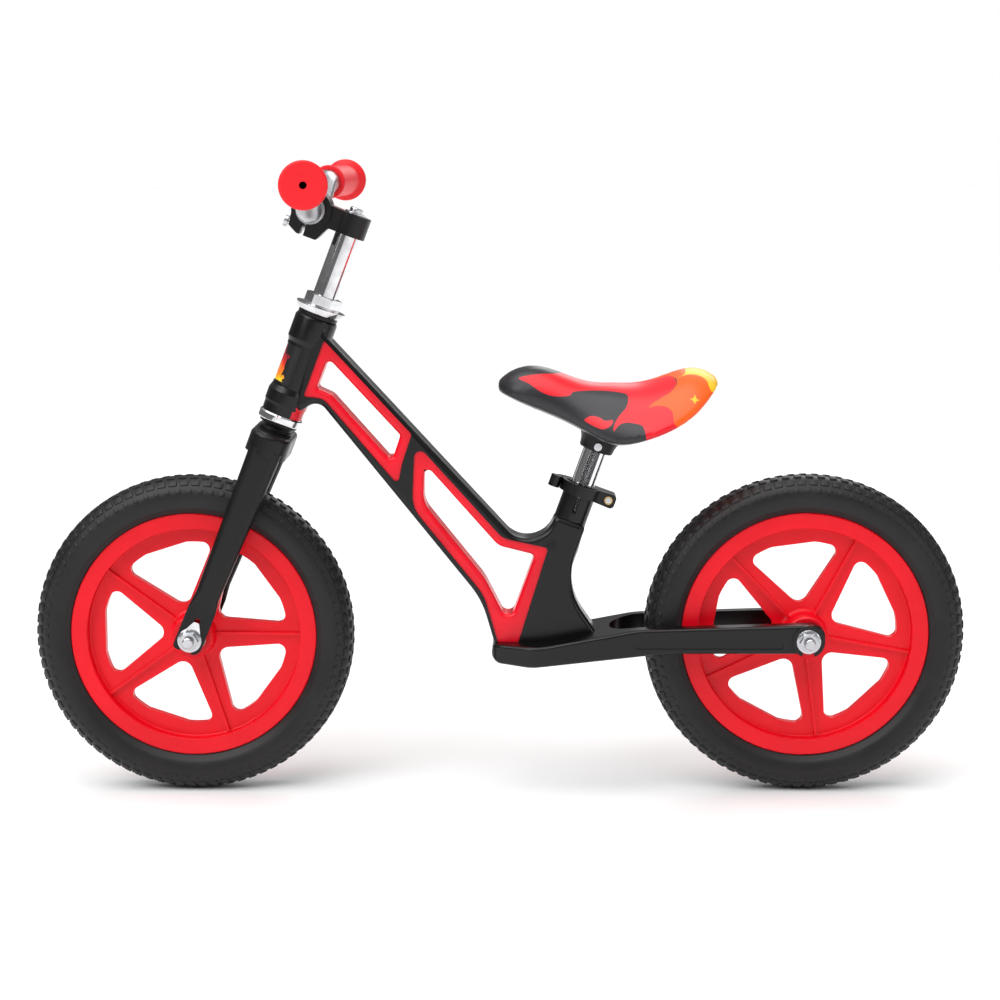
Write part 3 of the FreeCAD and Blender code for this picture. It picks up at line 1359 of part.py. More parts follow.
def make_grips():
    length = "size.gripLength"
    tube = "size.tubeRadius"
    end_wall = "size.gripEndWall"
    knob = "size.gripKnobRadius"
    grip = turned("grip", [
        ("size.gripHoleRadius", "0"),
        (f"{knob} - 1.5", "0"),
        (knob, "1.5"),
        (knob, "5"),
        (f"{knob} - 1.4", "6.6"),
        ("size.gripRadius", "10", "3"),
        ("size.gripRadius", f"{length} - 5"),
        ("size.gripFlangeRadius", f"{length} - 3.6"),
        ("size.gripFlangeRadius", f"{length} - 1"),
        ("size.gripFlangeRadius - 1", length),
        (tube, length),
        (tube, end_wall),
        ("size.gripHoleRadius", end_wall),
    ])
    along_grip = FreeCAD.Vector(-number("size.barSweep"),
                                number("size.barSecondBend") - number("size.handlebarHalfWidth"),
                                -number("size.barTipRise"))
    tip = FreeCAD.Vector(number("size.barSweep") + number("size.barBendSweep"),
                         number("size.handlebarHalfWidth"),
                         number("size.barRise") + number("size.barTipRise"))
    here = FreeCAD.Vector(number("place.barX"), 0, number("place.barZ"))
    grip.Placement = FreeCAD.Placement(here + tip, FreeCAD.Rotation(FreeCAD.Vector(0, 0, 1), along_grip))
    keep("right_grip", grip)
    keep("left_grip", mirrored(grip))


# Seat post, clamp and saddle -------------------------------------------------------------------

def make_seat_post():
    tube = "size.tubeRadius"
    post = ring("post_tube", f"{tube} - size.tubeWall", tube, "-size.postBottom", "size.postTop")
    flutes = []
    for index in range(int(number("size.fluteCount"))):
        flute = rod(f"flute{index}", "size.fluteRadius", "-size.postBottom - 1", "size.postTop + 1")
        angle = f"360 * ({index} + 0.5) / size.fluteCount"
        reach = "(size.tubeRadius + size.fluteRadius - size.fluteSink)"
        flute.setExpression("Placement.Base.x", f"{reach} * cos({angle})")
        flute.setExpression("Placement.Base.y", f"{reach} * sin({angle})")
        flutes.append(flute)
    hole = cross_rod("post_hole", "size.crossScrewRadius", "-20", "20", "size.crossScrewHeight")
    tools = fused("post_cuts", flutes + [hole])
    keep("seat_post", on_seat_tube(boolean("seat_post_fluted", "Cut", post, tools)))


def cross_rod(label, radius, low, high, height):
    """A cylinder across the bike through the seat tube's axis at a height above its top."""
    body = new_body(label)
    sketch = circle(body, "XZ_Plane", "0", height, radius, low)
    extrude(body, "Pad", sketch, f"({high}) - ({low})", both=False)
    return body


def make_clamp():
    top = "-size.collarDrop"
    low = "-size.collarDrop - size.collarHeight"
    middle = "-size.collarDrop - size.collarHeight / 2"
    band = rod("collar_band", "size.collarRadius", low, top)
    ears = new_body("collar_ears")
    extrude(ears, "Pad", outline(ears, "XZ_Plane", [
        ("0", low),
        ("0", top),
        ("size.earOffset", f"{middle} + size.earRadius", "size.earRadius * 0.6"),
        ("size.earOffset + size.earRadius", f"{middle} + size.earRadius", "size.earRadius * 0.6"),
        ("size.earOffset + size.earRadius", f"{middle} - size.earRadius", "size.earRadius * 0.6"),
        ("size.earOffset", f"{middle} - size.earRadius", "size.earRadius * 0.6"),
    ]), "2 * size.earOuter")
    solid = fused("collar_solid", [band, ears])
    gap = new_body("collar_gap")
    extrude(gap, "Pad", outline(gap, "XY_Plane", [
        ("0", "-size.earInner"),
        ("size.earOffset + 3 * size.earRadius", "-size.earInner"),
        ("size.earOffset + 3 * size.earRadius", "size.earInner"),
        ("0", "size.earInner"),
    ]), "8 * size.collarHeight")
    bore = rod("collar_bore", "size.seatTubeRadius", f"{low} - 10", f"{top} + 10")
    hole = ear_rod("ear_hole", "size.skewerRadius", "-3 * size.earOuter", "3 * size.earOuter")
    mouth = ear_rod("ear_mouth", "size.barrelRadius", "size.earOuter - size.barrelLength", "2 * size.earOuter")
    tools = fused("collar_tools", [gap, bore, hole, mouth])
    keep("seat_clamp_collar", on_seat_tube(boolean("collar_cut", "Cut", solid, tools)))
    nut = ear_rod("barrel_nut", "size.barrelRadius", "size.earOuter - size.barrelLength", "size.earOuter - 0.6")
    nut_bore = ear_rod("barrel_nut_bore", "size.skewerRadius", "0", "2 * size.earOuter")
    keep("seat_clamp_nut", on_seat_tube(boolean("barrel_nut_cut", "Cut", nut, nut_bore)))
    shank = ear_rod("skewer_shank", "size.skewerRadius", "-size.leverPinOut - 1.5 * size.leverPinRadius",
                    "size.earOuter - 0.2")
    pin_hole = lever_pin("skewer_eye", "size.leverPinRadius", "size.leverHeight")
    keep("seat_clamp_skewer", on_seat_tube(boolean("skewer_cut", "Cut", shank, pin_hole)))
    keep("seat_clamp_pin", on_seat_tube(lever_pin("clamp_pin", "size.leverPinRadius", "size.leverHeight")))
    face = "-size.leverPinOut + size.camRadius"
    pad = ear_rod("cam_pad", "size.camRadius - 0.4", f"{face} + 0.05", "-size.earOuter")
    pad_bore = ear_rod("cam_pad_bore", "size.skewerRadius", "-2 * size.leverPinOut", "0")
    keep("seat_clamp_cam_pad", on_seat_tube(boolean("cam_pad_cut", "Cut", pad, pad_bore)))
    make_lever(middle)


def lever_pin(label, radius, height):
    """A short cylinder along the lever's hinge."""
    body = new_body(label)
    level = "-size.collarDrop - size.collarHeight / 2"
    sketch = circle(body, "XY_Plane", "size.earOffset", "size.leverPinOut", radius, level)
    extrude(body, "Pad", sketch, height)
    return body


def make_lever(level):
    """The quick-release lever, closed round the right side of the collar."""
    high = "size.leverHeight"
    inside = "size.leverInnerRadius"
    outside = f"({inside} + size.leverThickness)"
    band = new_body("lever_band")
    first = "75"
    last = f"{first} + size.leverSweep - 55"
    sketch = new_sketch(band, "XY_Plane", level)
    band_outline(sketch, inside, outside, first, last)
    extrude(band, "Pad", sketch, high)
    knob = new_body("lever_knob")
    place = polar(f"{inside} + size.leverThickness / 2", last)
    extrude(knob, "Pad", circle(knob, "XY_Plane", *place, "size.leverKnobRadius", level), f"{high} + 1.5")
    arm = new_body("lever_arm")
    near = polar(inside, first)
    far = polar(f"{outside} - 0.1", f"{first} + 6")
    extrude(arm, "Pad", outline(arm, "XY_Plane", [
        polar(f"{inside} + 0.1", f"{first} + 6"),
        near,
        ("size.earOffset", "size.leverPinOut - 2.6"),
        ("size.earOffset", "size.leverPinOut + 3.4"),
        (far[0], far[1]),
    ], level), high)
    hub = lever_pin("lever_hub", "size.camRadius - size.camLift", high)
    hub.Tip.Profile[0].setExpression("AttachmentOffset.Base.y", "-size.camLift")
    solid = fused("lever_solid", [band, knob, arm, hub])
    slot = lever_pin("lever_slot", "size.camRadius + 2.6", "2 * size.skewerRadius + 0.6")
    bore = lever_pin("lever_bore", "size.leverPinRadius + size.tubeClearance", f"2 * {high}")
    tools = fused("lever_tools", [slot, bore])
    keep("seat_clamp_lever", on_seat_tube(boolean("lever_cut", "Cut", solid, tools)))


def band_outline(sketch, inside, outside, first, last):
    """A part ring between two angles."""
    radii = [number(inside), number(outside)]
    angles = [math.radians(number(first)), math.radians(number(last))]
    centre = FreeCAD.Vector(0, 0, 0)
    up = FreeCAD.Vector(0, 0, 1)
    arcs = [sketch.addGeometry(Part.ArcOfCircle(Part.Circle(centre, up, radius), *angles), False)
            for radius in radii]
    for arc, rule in zip(arcs, (inside, outside)):
        sketch.addConstraint(Sketcher.Constraint("Coincident", arc, 3, -1, 1))
        bind(sketch, Sketcher.Constraint("Radius", arc, number(rule)), rule)
    points = [[FreeCAD.Vector(radius * math.cos(angle), radius * math.sin(angle), 0) for angle in angles]
              for radius in radii]
    for end in (0, 1):
        side = sketch.addGeometry(Part.LineSegment(points[0][end], points[1][end]), False)
        sketch.addConstraint(Sketcher.Constraint("Coincident", side, 1, arcs[0], end + 1))
        sketch.addConstraint(Sketcher.Constraint("Coincident", side, 2, arcs[1], end + 1))
    corners = (polar(inside, first), polar(inside, last))
    for end in (0, 1):
        bind(sketch, Sketcher.Constraint("DistanceX", arcs[0], end + 1, number(corners[end][0])), corners[end][0])
    corners = (polar(outside, first), polar(outside, last))
    for end in (0, 1):
        bind(sketch, Sketcher.Constraint("DistanceX", arcs[1], end + 1, number(corners[end][0])), corners[end][0])


def ear_rod(label, radius, low, high):
    """A cylinder along the clamp's skewer; the left side of the bike is high."""
    body = new_body(label)
    sketch = circle(body, "XZ_Plane", "size.earOffset", "-size.collarDrop - size.collarHeight / 2", radius, low)
    extrude(body, "Pad", sketch, f"({high}) - ({low})", both=False)
    return body


def saddle_section(body, letter):
    """A slice across the saddle: a shallow arc below and a full one above."""
    along = f"size.saddleAlong{letter}"
    half = f"size.saddleHalfWidth{letter}"
    edge = f"size.saddleEdge{letter}"
    crown = f"size.saddleCrown{letter}"
    under = f"{edge} - size.saddleSag * ({crown} - {edge})"
    sketch = new_sketch(body, "YZ_Plane", along)
    left = FreeCAD.Vector(-number(half), number(edge), 0)
    right = FreeCAD.Vector(number(half), number(edge), 0)
    for middle, start, end, side in ((crown, right, left, 1), (under, left, right, -1)):
        rise = f"({side} * (({middle}) - {edge}))"
        radius = f"({half} ^ 2 + {rise} ^ 2) / (2 * {rise})"
        centre = FreeCAD.Vector(0, number(middle) - side * number(radius), 0)
        arc = sketch.addGeometry(arc_of(centre, number(radius), start, end), False)
        bind(sketch, Sketcher.Constraint("Radius", arc, number(radius)), radius)
        first, last = (half, f"-{half}") if side > 0 else (f"-{half}", half)
        fix_point(sketch, arc, 1, first, edge)
        fix_point(sketch, arc, 2, last, edge)
    return sketch


def make_saddle():
    body = new_body("saddle_cushion")
    sections = [saddle_section(body, letter) for letter in "ABCDEFGHIJ"[:len(SADDLE_SECTIONS)]]
    document.recompute()
    feature = body.newObject("PartDesign::AdditiveLoft", "loft")
    feature.Profile = sections[0]
    feature.Sections = sections[1:]
    document.recompute()
    put(body, ("place.seatX", "0", "place.seatZ"), (0, 1, 0), "0")
    boss = on_seat_tube(turned("saddle_boss", [
        ("0", "size.bossBottom"),
        ("size.bossBottomRadius - 1", "size.bossBottom"),
        ("size.bossBottomRadius", "size.bossBottom + 1"),
        ("size.bossBottomRadius + 1", "size.bossBottom + 10", "20"),
        ("size.bossTopRadius", "size.bossTaperEnd", "20"),
        ("size.bossTopRadius", "size.bossTop"),
        ("0", "size.bossTop"),
    ]))
    post = on_seat_tube(rod("post_bore", "size.tubeRadius", "size.bossBottom - 2", "size.postTop"))
    screw_bore = on_seat_tube(cross_rod("screw_bore", "size.crossScrewRadius", "-30", "30",
                                        "size.crossScrewHeight"))
    tools = fused("saddle_tools", [body, post, screw_bore])
    keep("saddle_base", boolean("saddle_base_cut", "Cut", boss, tools))
    keep("saddle_pad", boolean("saddle_pad_cut", "Cut", body, post))
    reach = "size.bossBottomRadius + 1.2"
    shank = cross_rod("screw_shank", "size.crossScrewRadius", f"-({reach})", reach, "size.crossScrewHeight")
    head = cross_rod("screw_head", "size.crossScrewHead", reach, f"{reach} + 1.8", "size.crossScrewHeight")
    keep("saddle_screw", on_seat_tube(fused("saddle_screw_solid", [shank, head])))


def write_nodes():
    """Checks every object and every shape, and then writes one STEP file for each piece."""
    document.recompute()
    broken = [item.Name for item in document.Objects if "Invalid" in item.State or "Error" in item.State]
    if broken:
        raise RuntimeError(f"objects that did not compute: {broken}")
    for label, item in nodes.items():
        if item.Label != label or item.Shape.isNull() or not item.Shape.isValid() or not item.Shape.Solids:
            raise RuntimeError(f"{label} has no sound shape")
    os.makedirs("parts", exist_ok=True)
    for label, item in nodes.items():
        item.Shape.exportStep(f"parts/{label}.step")
        print(label, len(item.Shape.Solids), round(item.Shape.Volume))


make_frame_casting()
for end in ("front", "rear"):
    make_wheel(end)
    make_tyre(end)
    make_wheel_bearings(end)
make_axle_set("front", "(size.tipInner + size.tipThickness + size.washerThickness)", "size.tipInner")
make_axle_set("rear", "(size.plateHalfWidth + size.endBossHeight)", "place.stayInner")
make_front_washers()
make_fork()
make_head_set()
make_stem()
make_handlebar()
make_grips()
make_seat_post()
make_clamp()
make_saddle()
write_nodes()
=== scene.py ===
import json
import math

import bpy
import numpy
from mathutils import Euler, Matrix, Vector
from mathutils.bvhtree import BVHTree


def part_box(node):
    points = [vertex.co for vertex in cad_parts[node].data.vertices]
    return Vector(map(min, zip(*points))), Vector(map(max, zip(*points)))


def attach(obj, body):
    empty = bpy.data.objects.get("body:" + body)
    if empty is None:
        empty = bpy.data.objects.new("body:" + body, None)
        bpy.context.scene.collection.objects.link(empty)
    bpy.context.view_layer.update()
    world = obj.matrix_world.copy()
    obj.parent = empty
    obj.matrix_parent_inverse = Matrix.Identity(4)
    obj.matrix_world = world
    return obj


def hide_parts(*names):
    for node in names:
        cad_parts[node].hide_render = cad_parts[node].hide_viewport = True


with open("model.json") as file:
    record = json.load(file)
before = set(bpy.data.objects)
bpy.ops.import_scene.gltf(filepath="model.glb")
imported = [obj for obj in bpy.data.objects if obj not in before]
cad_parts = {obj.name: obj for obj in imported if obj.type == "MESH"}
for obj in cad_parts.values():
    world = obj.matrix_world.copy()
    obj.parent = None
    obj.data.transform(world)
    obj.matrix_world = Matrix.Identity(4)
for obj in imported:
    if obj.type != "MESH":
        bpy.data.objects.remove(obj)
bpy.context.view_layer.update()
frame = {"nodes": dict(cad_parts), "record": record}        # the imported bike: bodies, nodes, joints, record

mm = 0.001


# Editing by hand, in code

def dropSelection():
    if bpy.context.object and bpy.context.object.mode != "OBJECT":
        bpy.ops.object.mode_set(mode="OBJECT")
    bpy.ops.object.select_all(action="DESELECT")


def pick(piece):
    dropSelection()
    piece.select_set(True)
    bpy.context.view_layer.objects.active = piece
    return piece


def editMode(piece, kind="VERT"):
    pick(piece)
    bpy.ops.object.mode_set(mode="EDIT")
    bpy.ops.mesh.select_mode(type=kind)


def objectMode():
    bpy.ops.object.mode_set(mode="OBJECT")


def addModifier(piece, kind, **settings):
    pick(piece)
    modifier = piece.modifiers.new(kind.lower(), kind)
    for name, value in settings.items():
        setattr(modifier, name, value)
    bpy.ops.object.modifier_apply(modifier=modifier.name)
    return piece


def smooth(piece, angle=35, weighted=True):
    pick(piece)
    bpy.ops.object.shade_smooth_by_angle(angle=math.radians(angle))
    if weighted:
        addModifier(piece, "WEIGHTED_NORMAL", keep_sharp=True, weight=60)
    return piece


def applyPlace(piece):
    pick(piece)
    bpy.ops.object.transform_apply(location=True, rotation=True, scale=True)
    return piece


def joined(name, pieces):
    dropSelection()
    for piece in pieces:
        piece.select_set(True)
    bpy.context.view_layer.objects.active = pieces[0]
    bpy.ops.object.join()
    pieces[0].name = name
    return pieces[0]


def placed(piece, matrix):
    # moves the finished mesh itself, so that its object stays at the origin
    piece.data.transform(matrix)
    piece.data.update()
    return piece


def finishPiece(piece, name, body, finish, replaces=()):
    piece.name = name
    piece.data.name = name
    piece.data.materials.clear()
    for material in (finish if isinstance(finish, (list, tuple)) else [finish]):
        piece.data.materials.append(material)
    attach(piece, body)
    if replaces:
        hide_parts(*replaces)
    return piece


def nodeCopy(node, merge=2e-6):
    # a merged copy of a CAD node's mesh, whose own triangles are left alone
    source = frame["nodes"][node]
    piece = bpy.data.objects.new(f"{node}Copy", source.data.copy())
    bpy.context.scene.collection.objects.link(piece)
    pick(piece)
    if piece.data.has_custom_normals:
        bpy.ops.mesh.customdata_custom_splitnormals_clear()
    editMode(piece)
    bpy.ops.mesh.select_all(action="SELECT")
    bpy.ops.mesh.remove_doubles(threshold=merge)
    bpy.ops.mesh.dissolve_limited(angle_limit=math.radians(0.4))
    objectMode()
    return piece


def bodyOf(node):
    return next(body for body, nodes in frame["record"]["behaviour"]["bodies"].items() if node in nodes)


def refined(node, finish, bevel=0.0, segments=2, angle=35):
    # the CAD shape with softened edges and smooth shading
    piece = nodeCopy(node)
    if bevel:
        addModifier(piece, "BEVEL", width=bevel * mm, segments=segments, limit_method="ANGLE",
                    angle_limit=math.radians(38), use_clamp_overlap=True, harden_normals=False)
    smooth(piece, angle)
    return finishPiece(piece, f"{node}_look", bodyOf(node), finish, [node])


def lathe(name, profile, steps=96):
    # a closed ring of (radius, height) corners, spun about the upright axis
    dropSelection()
    bpy.ops.mesh.primitive_circle_add(vertices=len(profile), radius=1, fill_type="NOTHING")
    piece = bpy.context.object
    for vertex, (radius, height) in zip(piece.data.vertices, profile):
        vertex.co = (radius * mm, 0, height * mm)
    editMode(piece)
    bpy.ops.mesh.select_all(action="SELECT")
    bpy.ops.mesh.spin(steps=steps, angle=2 * math.pi, center=(0, 0, 0), axis=(0, 0, 1))
    bpy.ops.mesh.select_all(action="SELECT")
    bpy.ops.mesh.remove_doubles(threshold=1e-6)
    bpy.ops.mesh.normals_make_consistent(inside=False)
    objectMode()
    piece.name = name
    return piece


def block(size, bevel, place=(0, 0, 0), turn=(0, 0, 0), segments=2):
    # a cube with rounded edges, in millimetres
    dropSelection()
    bpy.ops.mesh.primitive_cube_add(size=1)
    piece = bpy.context.object
    piece.scale = [side * mm for side in size]
    applyPlace(piece)
    editMode(piece)
    bpy.ops.mesh.select_all(action="SELECT")
    bpy.ops.mesh.bevel(offset=bevel * mm, segments=segments, affect="EDGES")
    objectMode()
    matrix = Matrix.Translation([value * mm for value in place]) @ Euler(
        [math.radians(value) for value in turn]).to_matrix().to_4x4()
    return placed(piece, matrix)


def ringOf(piece, count, turn=0.0):
    # copies of a piece all round the upright axis, in its own mesh
    if turn:
        placed(piece, Matrix.Rotation(math.radians(turn), 4, "Z"))
    editMode(piece)
    bpy.ops.mesh.select_all(action="SELECT")
    bpy.ops.mesh.spin(steps=count, angle=2 * math.pi, center=(0, 0, 0), axis=(0, 0, 1), dupli=True)
    bpy.ops.mesh.select_all(action="SELECT")
    bpy.ops.mesh.remove_doubles(threshold=1e-6)
    objectMode()
    return piece


# Shader maths

class Wire:
    def __init__(self, finish, socket):
        self.finish = finish
        self.socket = socket

    def sum(self, operation, *others, clamp=False):
        return self.finish.node("ShaderNodeMath", {"operation": operation, "use_clamp": clamp}, self, *others)

    def __add__(self, other):
        return self.sum("ADD", other)

    def __radd__(self, other):
        return self.sum("ADD", other)

    def __sub__(self, other):
        return self.sum("SUBTRACT", other)

    def __rsub__(self, other):
        return self.finish.node("ShaderNodeMath", {"operation": "SUBTRACT"}, other, self)

    def __mul__(self, other):
        return self.sum("MULTIPLY", other)

    def __rmul__(self, other):
        return self.sum("MULTIPLY", other)

    def __truediv__(self, other):
        return self.sum("DIVIDE", other)

    def __pow__(self, other):
        return self.sum("POWER", other)

    def above(self, other):
        return self.sum("GREATER_THAN", other)

    def below(self, other):
        return self.sum("LESS_THAN", other)

    def most(self, other):
        return self.sum("MAXIMUM", other)

    def sine(self):
        return self.sum("SINE")

    def size(self):
        return self.sum("ABSOLUTE")

    def between(self, low, high):
        return self.finish.node("ShaderNodeMapRange", {"clamp": True}, self, low, high, 0.0, 1.0)


class Finish:
    def __init__(self, name, color=(0.5, 0.5, 0.5), roughness=0.5, metallic=0.0, **constants):
        self.material = bpy.data.materials.new(name)
        self.material.use_nodes = True
        self.tree = self.material.node_tree
        self.shader = self.tree.nodes["Principled BSDF"]
        self.material.diffuse_color = (*color, 1)
        self.set("Base Color", (*color, 1))
        self.set("Roughness", roughness)
        self.set("Metallic", metallic)
        for socket, value in constants.items():
            self.set(socket, value)
        self.place = self.node("ShaderNodeTexCoord", {}, output="Object")

    def set(self, socket, value):
        if isinstance(value, Wire):
            self.tree.links.new(value.socket, self.shader.inputs[socket])
        else:
            self.shader.inputs[socket].default_value = value

    def node(self, kind, settings=None, *values, output=0, **named):
        made = self.tree.nodes.new(kind)
        for name, value in (settings or {}).items():
            if name == "stops":
                self.fillRamp(made.color_ramp, value)
            else:
                setattr(made, name, value)
        for key, value in [*enumerate(values), *named.items()]:
            if isinstance(value, Wire):
                self.tree.links.new(value.socket, made.inputs[key])
            elif value is not None:
                made.inputs[key].default_value = value
        return Wire(self, made.outputs[output])

    def fillRamp(self, ramp, stops):
        while len(ramp.elements) > 1:
            ramp.elements.remove(ramp.elements[-1])
        for number, (position, color) in enumerate(stops):
            stop = ramp.elements[0] if number == 0 else ramp.elements.new(position)
            stop.position = position
            stop.color = (*color, 1) if len(color) == 3 else color

    def noise(self, scale, detail=3.0, roughness=0.55, place=None):
        return self.node("ShaderNodeTexNoise", {}, Vector=place or self.place, Scale=scale, Detail=detail,
                         Roughness=roughness)

    def mix(self, factor, first, second):
        made = self.tree.nodes.new("ShaderNodeMix")
        made.data_type = "RGBA"
        for key, value in ((0, factor), (6, first), (7, second)):
            if isinstance(value, Wire):
                self.tree.links.new(value.socket, made.inputs[key])
            elif key == 0:
                made.inputs[key].default_value = value
            else:
                made.inputs[key].default_value = (*value, 1)
        return Wire(self, made.outputs[2])

    def split(self, place=None):
        made = self.tree.nodes.new("ShaderNodeSeparateXYZ")
        self.tree.links.new((place or self.place).socket, made.inputs[0])
        return [Wire(self, output) for output in made.outputs]

    def mapped(self, location=(0, 0, 0), rotation=(0, 0, 0), scale=(1, 1, 1), kind="TEXTURE"):
        return self.node("ShaderNodeMapping", {"vector_type": kind}, Vector=self.place, Location=location,
                         Rotation=rotation, Scale=scale)

    def bump(self, height, strength=0.3, distance=0.0005):
        self.set("Normal", self.node("ShaderNodeBump", {}, Strength=strength, Distance=distance,
                                     Height=height))


def makeCamera():
    view = {"target": (0.00143, 0.0, 0.26607), "distance": 2.03777, "azimuth": 0.959, "elevation": 8.67,
            "roll": -0.192, "lens": 81.305}
    azimuth = math.radians(view["azimuth"])
    elevation = math.radians(view["elevation"])
    back = Vector((math.sin(azimuth) * math.cos(elevation), -math.cos(azimuth) * math.cos(elevation),
                   math.sin(elevation)))
    lens = bpy.data.cameras.new("camera")
    lens.lens = view["lens"]
    lens.sensor_width = 36
    camera = bpy.data.objects.new("camera", lens)
    bpy.context.scene.collection.objects.link(camera)
    turn = back.to_track_quat("Z", "Y").to_matrix().to_4x4()
    camera.matrix_world = (Matrix.Translation(Vector(view["target"]) + back * view["distance"]) @ turn
                           @ Matrix.Rotation(math.radians(view["roll"]), 4, "Z"))
    bpy.context.scene.camera = camera


def makeStudio():
    studio = {"floor": 0.92, "backdrop": 1.0, "sideLight": 0.17, "topLight": 0.62, "lampAim": 0.25,
              "sun": 2.45, "sunSpread": 70}
    bpy.context.scene.view_settings.view_transform = "Standard"
    dropSelection()
    bpy.ops.mesh.primitive_plane_add(size=80, location=(0, 0, 0))
    floor = bpy.context.object
    floor.name = "floor"
    applyPlace(floor)
    pale = Finish("paleFloor", (studio["floor"],) * 3, 0.7)
    pale.set("Base Color", pale.mix(pale.noise(2.0, 2.0), (studio["floor"] - 0.01,) * 3,
                                    (studio["floor"] + 0.01,) * 3))
    floor.data.materials.append(pale.material)
    world = bpy.data.worlds.new("studio")
    world.use_nodes = True
    tree = world.node_tree
    soft = tree.nodes["Background"]      # lights the bike: brighter from above than from the sides
    plain = tree.nodes.new("ShaderNodeBackground")      # what shows behind the bike
    plain.inputs[0].default_value = (1, 1, 1, 1)
    plain.inputs[1].default_value = studio["backdrop"]
    direction = tree.nodes.new("ShaderNodeTexCoord")
    parts = tree.nodes.new("ShaderNodeSeparateXYZ")
    rise = tree.nodes.new("ShaderNodeMapRange")
    rise.inputs["From Min"].default_value = 0.25
    rise.inputs["From Max"].default_value = 0.85
    rise.inputs["To Min"].default_value = studio["sideLight"]
    rise.inputs["To Max"].default_value = studio["topLight"]
    sight = tree.nodes.new("ShaderNodeLightPath")
    blend = tree.nodes.new("ShaderNodeMixShader")
    for start, end in (
            (direction.outputs["Generated"], parts.inputs[0]), (parts.outputs["Z"], rise.inputs["Value"]),
            (rise.outputs[0], soft.inputs["Strength"]), (sight.outputs["Is Camera Ray"], blend.inputs[0]),
            (soft.outputs[0], blend.inputs[1]), (plain.outputs[0], blend.inputs[2]),
            (blend.outputs[0], tree.nodes["World Output"].inputs[0])):
        tree.links.new(start, end)
    soft.inputs["Color"].default_value = (1, 1, 1, 1)
    bpy.context.scene.world = world
    lamps = {
        "key": {"place": (-1.5, -1.5, 1.5), "size": 1.0, "power": 12},
        "fill": {"place": (2.0, -1.3, 0.9), "size": 0.8, "power": 5},
        "back": {"place": (0.6, 1.9, 1.5), "size": 1.2, "power": 12},
    }
    for name, lamp in lamps.items():
        light = bpy.data.lights.new(name, "AREA")
        light.size = lamp["size"]
        light.energy = lamp["power"]
        holder = bpy.data.objects.new(name, light)
        holder.location = lamp["place"]
        away = Vector(lamp["place"]) - Vector((0, 0, studio["lampAim"]))
        holder.rotation_euler = away.to_track_quat("Z", "Y").to_euler()
        bpy.context.scene.collection.objects.link(holder)
    daylight = bpy.data.lights.new("broad", "SUN")
    daylight.angle = math.radians(studio["sunSpread"])
    daylight.energy = studio["sun"]
    holder = bpy.data.objects.new("broad", daylight)
    holder.rotation_euler = Vector((-0.25, -0.35, 1.0)).to_track_quat("Z", "Y").to_euler()
    bpy.context.scene.collection.objects.link(holder)


makeCamera()
makeStudio()
print("camera and studio are set")


# Finishes

def satinPaint(name, color, roughness, fleck=900.0, coat=0.0):
    paint = Finish(name, color, roughness, **{"Coat Weight": coat, "Coat Roughness": 0.12,
                                              "Specular IOR Level": 0.3})
    grain = paint.noise(fleck, 2.0)
    haze = paint.noise(22.0, 3.0)
    bright = [min(1, value * 1.3 + 0.001) for value in color]
    paint.set("Base Color", paint.mix(haze.between(0.4, 0.75), color, bright))
    paint.set("Roughness", haze * 0.12 + (roughness - 0.06) + grain * 0.03)
    paint.bump(grain, 0.08, 0.0004)
    return paint.material


def metal(name, color, roughness, brushed=0.0, wear=0.06):
    bare = Finish(name, color, roughness, 1.0)
    haze = bare.noise(60.0, 4.0)
    scratches = bare.noise(700.0, 2.0, place=bare.mapped(scale=(1.0, 8.0, 1.0)))
    dark = [value * 0.72 for value in color]
    bare.set("Base Color", bare.mix(haze.between(0.35, 0.7), color, dark))
    bare.set("Roughness", haze * wear + scratches * (0.04 + brushed) + (roughness - 0.05))
    bare.bump(scratches, 0.04 + brushed, 0.0002)
    return bare.material


def knurledChrome():
    # the seat post's plating, with a knurled strip down the middle of each side
    post = {"lean": math.radians(20), "foot": (0.0765, 0.2815), "strip": 0.0046, "pitch": 0.0023}
    chrome = Finish("postChrome", (0.80, 0.80, 0.82), 0.1, 1.0)
    x, y, z = chrome.split()
    sine, cosine = math.sin(post["lean"]), math.cos(post["lean"])
    across = (x - post["foot"][0]) * cosine - (z - post["foot"][1]) * sine
    along = (x - post["foot"][0]) * sine + (z - post["foot"][1]) * cosine
    turns = 2 * math.pi / post["pitch"]
    first = ((along + across) * turns).sine()
    second = ((along - across) * turns).sine()
    strip = across.size().between(post["strip"], post["strip"] - 0.0004)
    diamonds = first.most(second) * strip
    haze = chrome.noise(60.0, 4.0)
    chrome.set("Base Color", chrome.mix(diamonds.between(0.0, 1.0), (0.80, 0.80, 0.82), (0.22, 0.22, 0.23)))
    chrome.set("Roughness", haze * 0.06 + strip * 0.12 + 0.05)
    chrome.bump(diamonds, 1.0, 0.0007)
    return chrome.material


def moulded(name, color, roughness, grain=1400.0, depth=0.12):
    plastic = Finish(name, color, roughness, **{"Specular IOR Level": 0.3})
    fine = plastic.noise(grain, 3.0)
    broad = plastic.noise(14.0, 2.0)
    light = [min(1, value * 1.12 + 0.001) for value in color]
    plastic.set("Base Color", plastic.mix(broad.between(0.35, 0.7), color, light))
    plastic.set("Roughness", fine * 0.12 + broad * 0.06 + (roughness - 0.09))
    plastic.bump(fine, depth, 0.0003)
    return plastic.material


def tyreRubber():
    rubber = Finish("tyreRubber", (0.006, 0.006, 0.007), 0.5, **{"Specular IOR Level": 0.4})
    fine = rubber.noise(1800.0, 4.0)
    dust = rubber.noise(26.0, 4.0)
    clean, dusty = (0.0048, 0.0046, 0.0052), (0.011, 0.0105, 0.012)
    rubber.set("Base Color", rubber.mix(dust.between(0.45, 0.8), clean, dusty))
    rubber.set("Roughness", dust * 0.16 + fine * 0.12 + 0.34)
    rubber.bump(fine, 0.22, 0.0004)
    return rubber.material


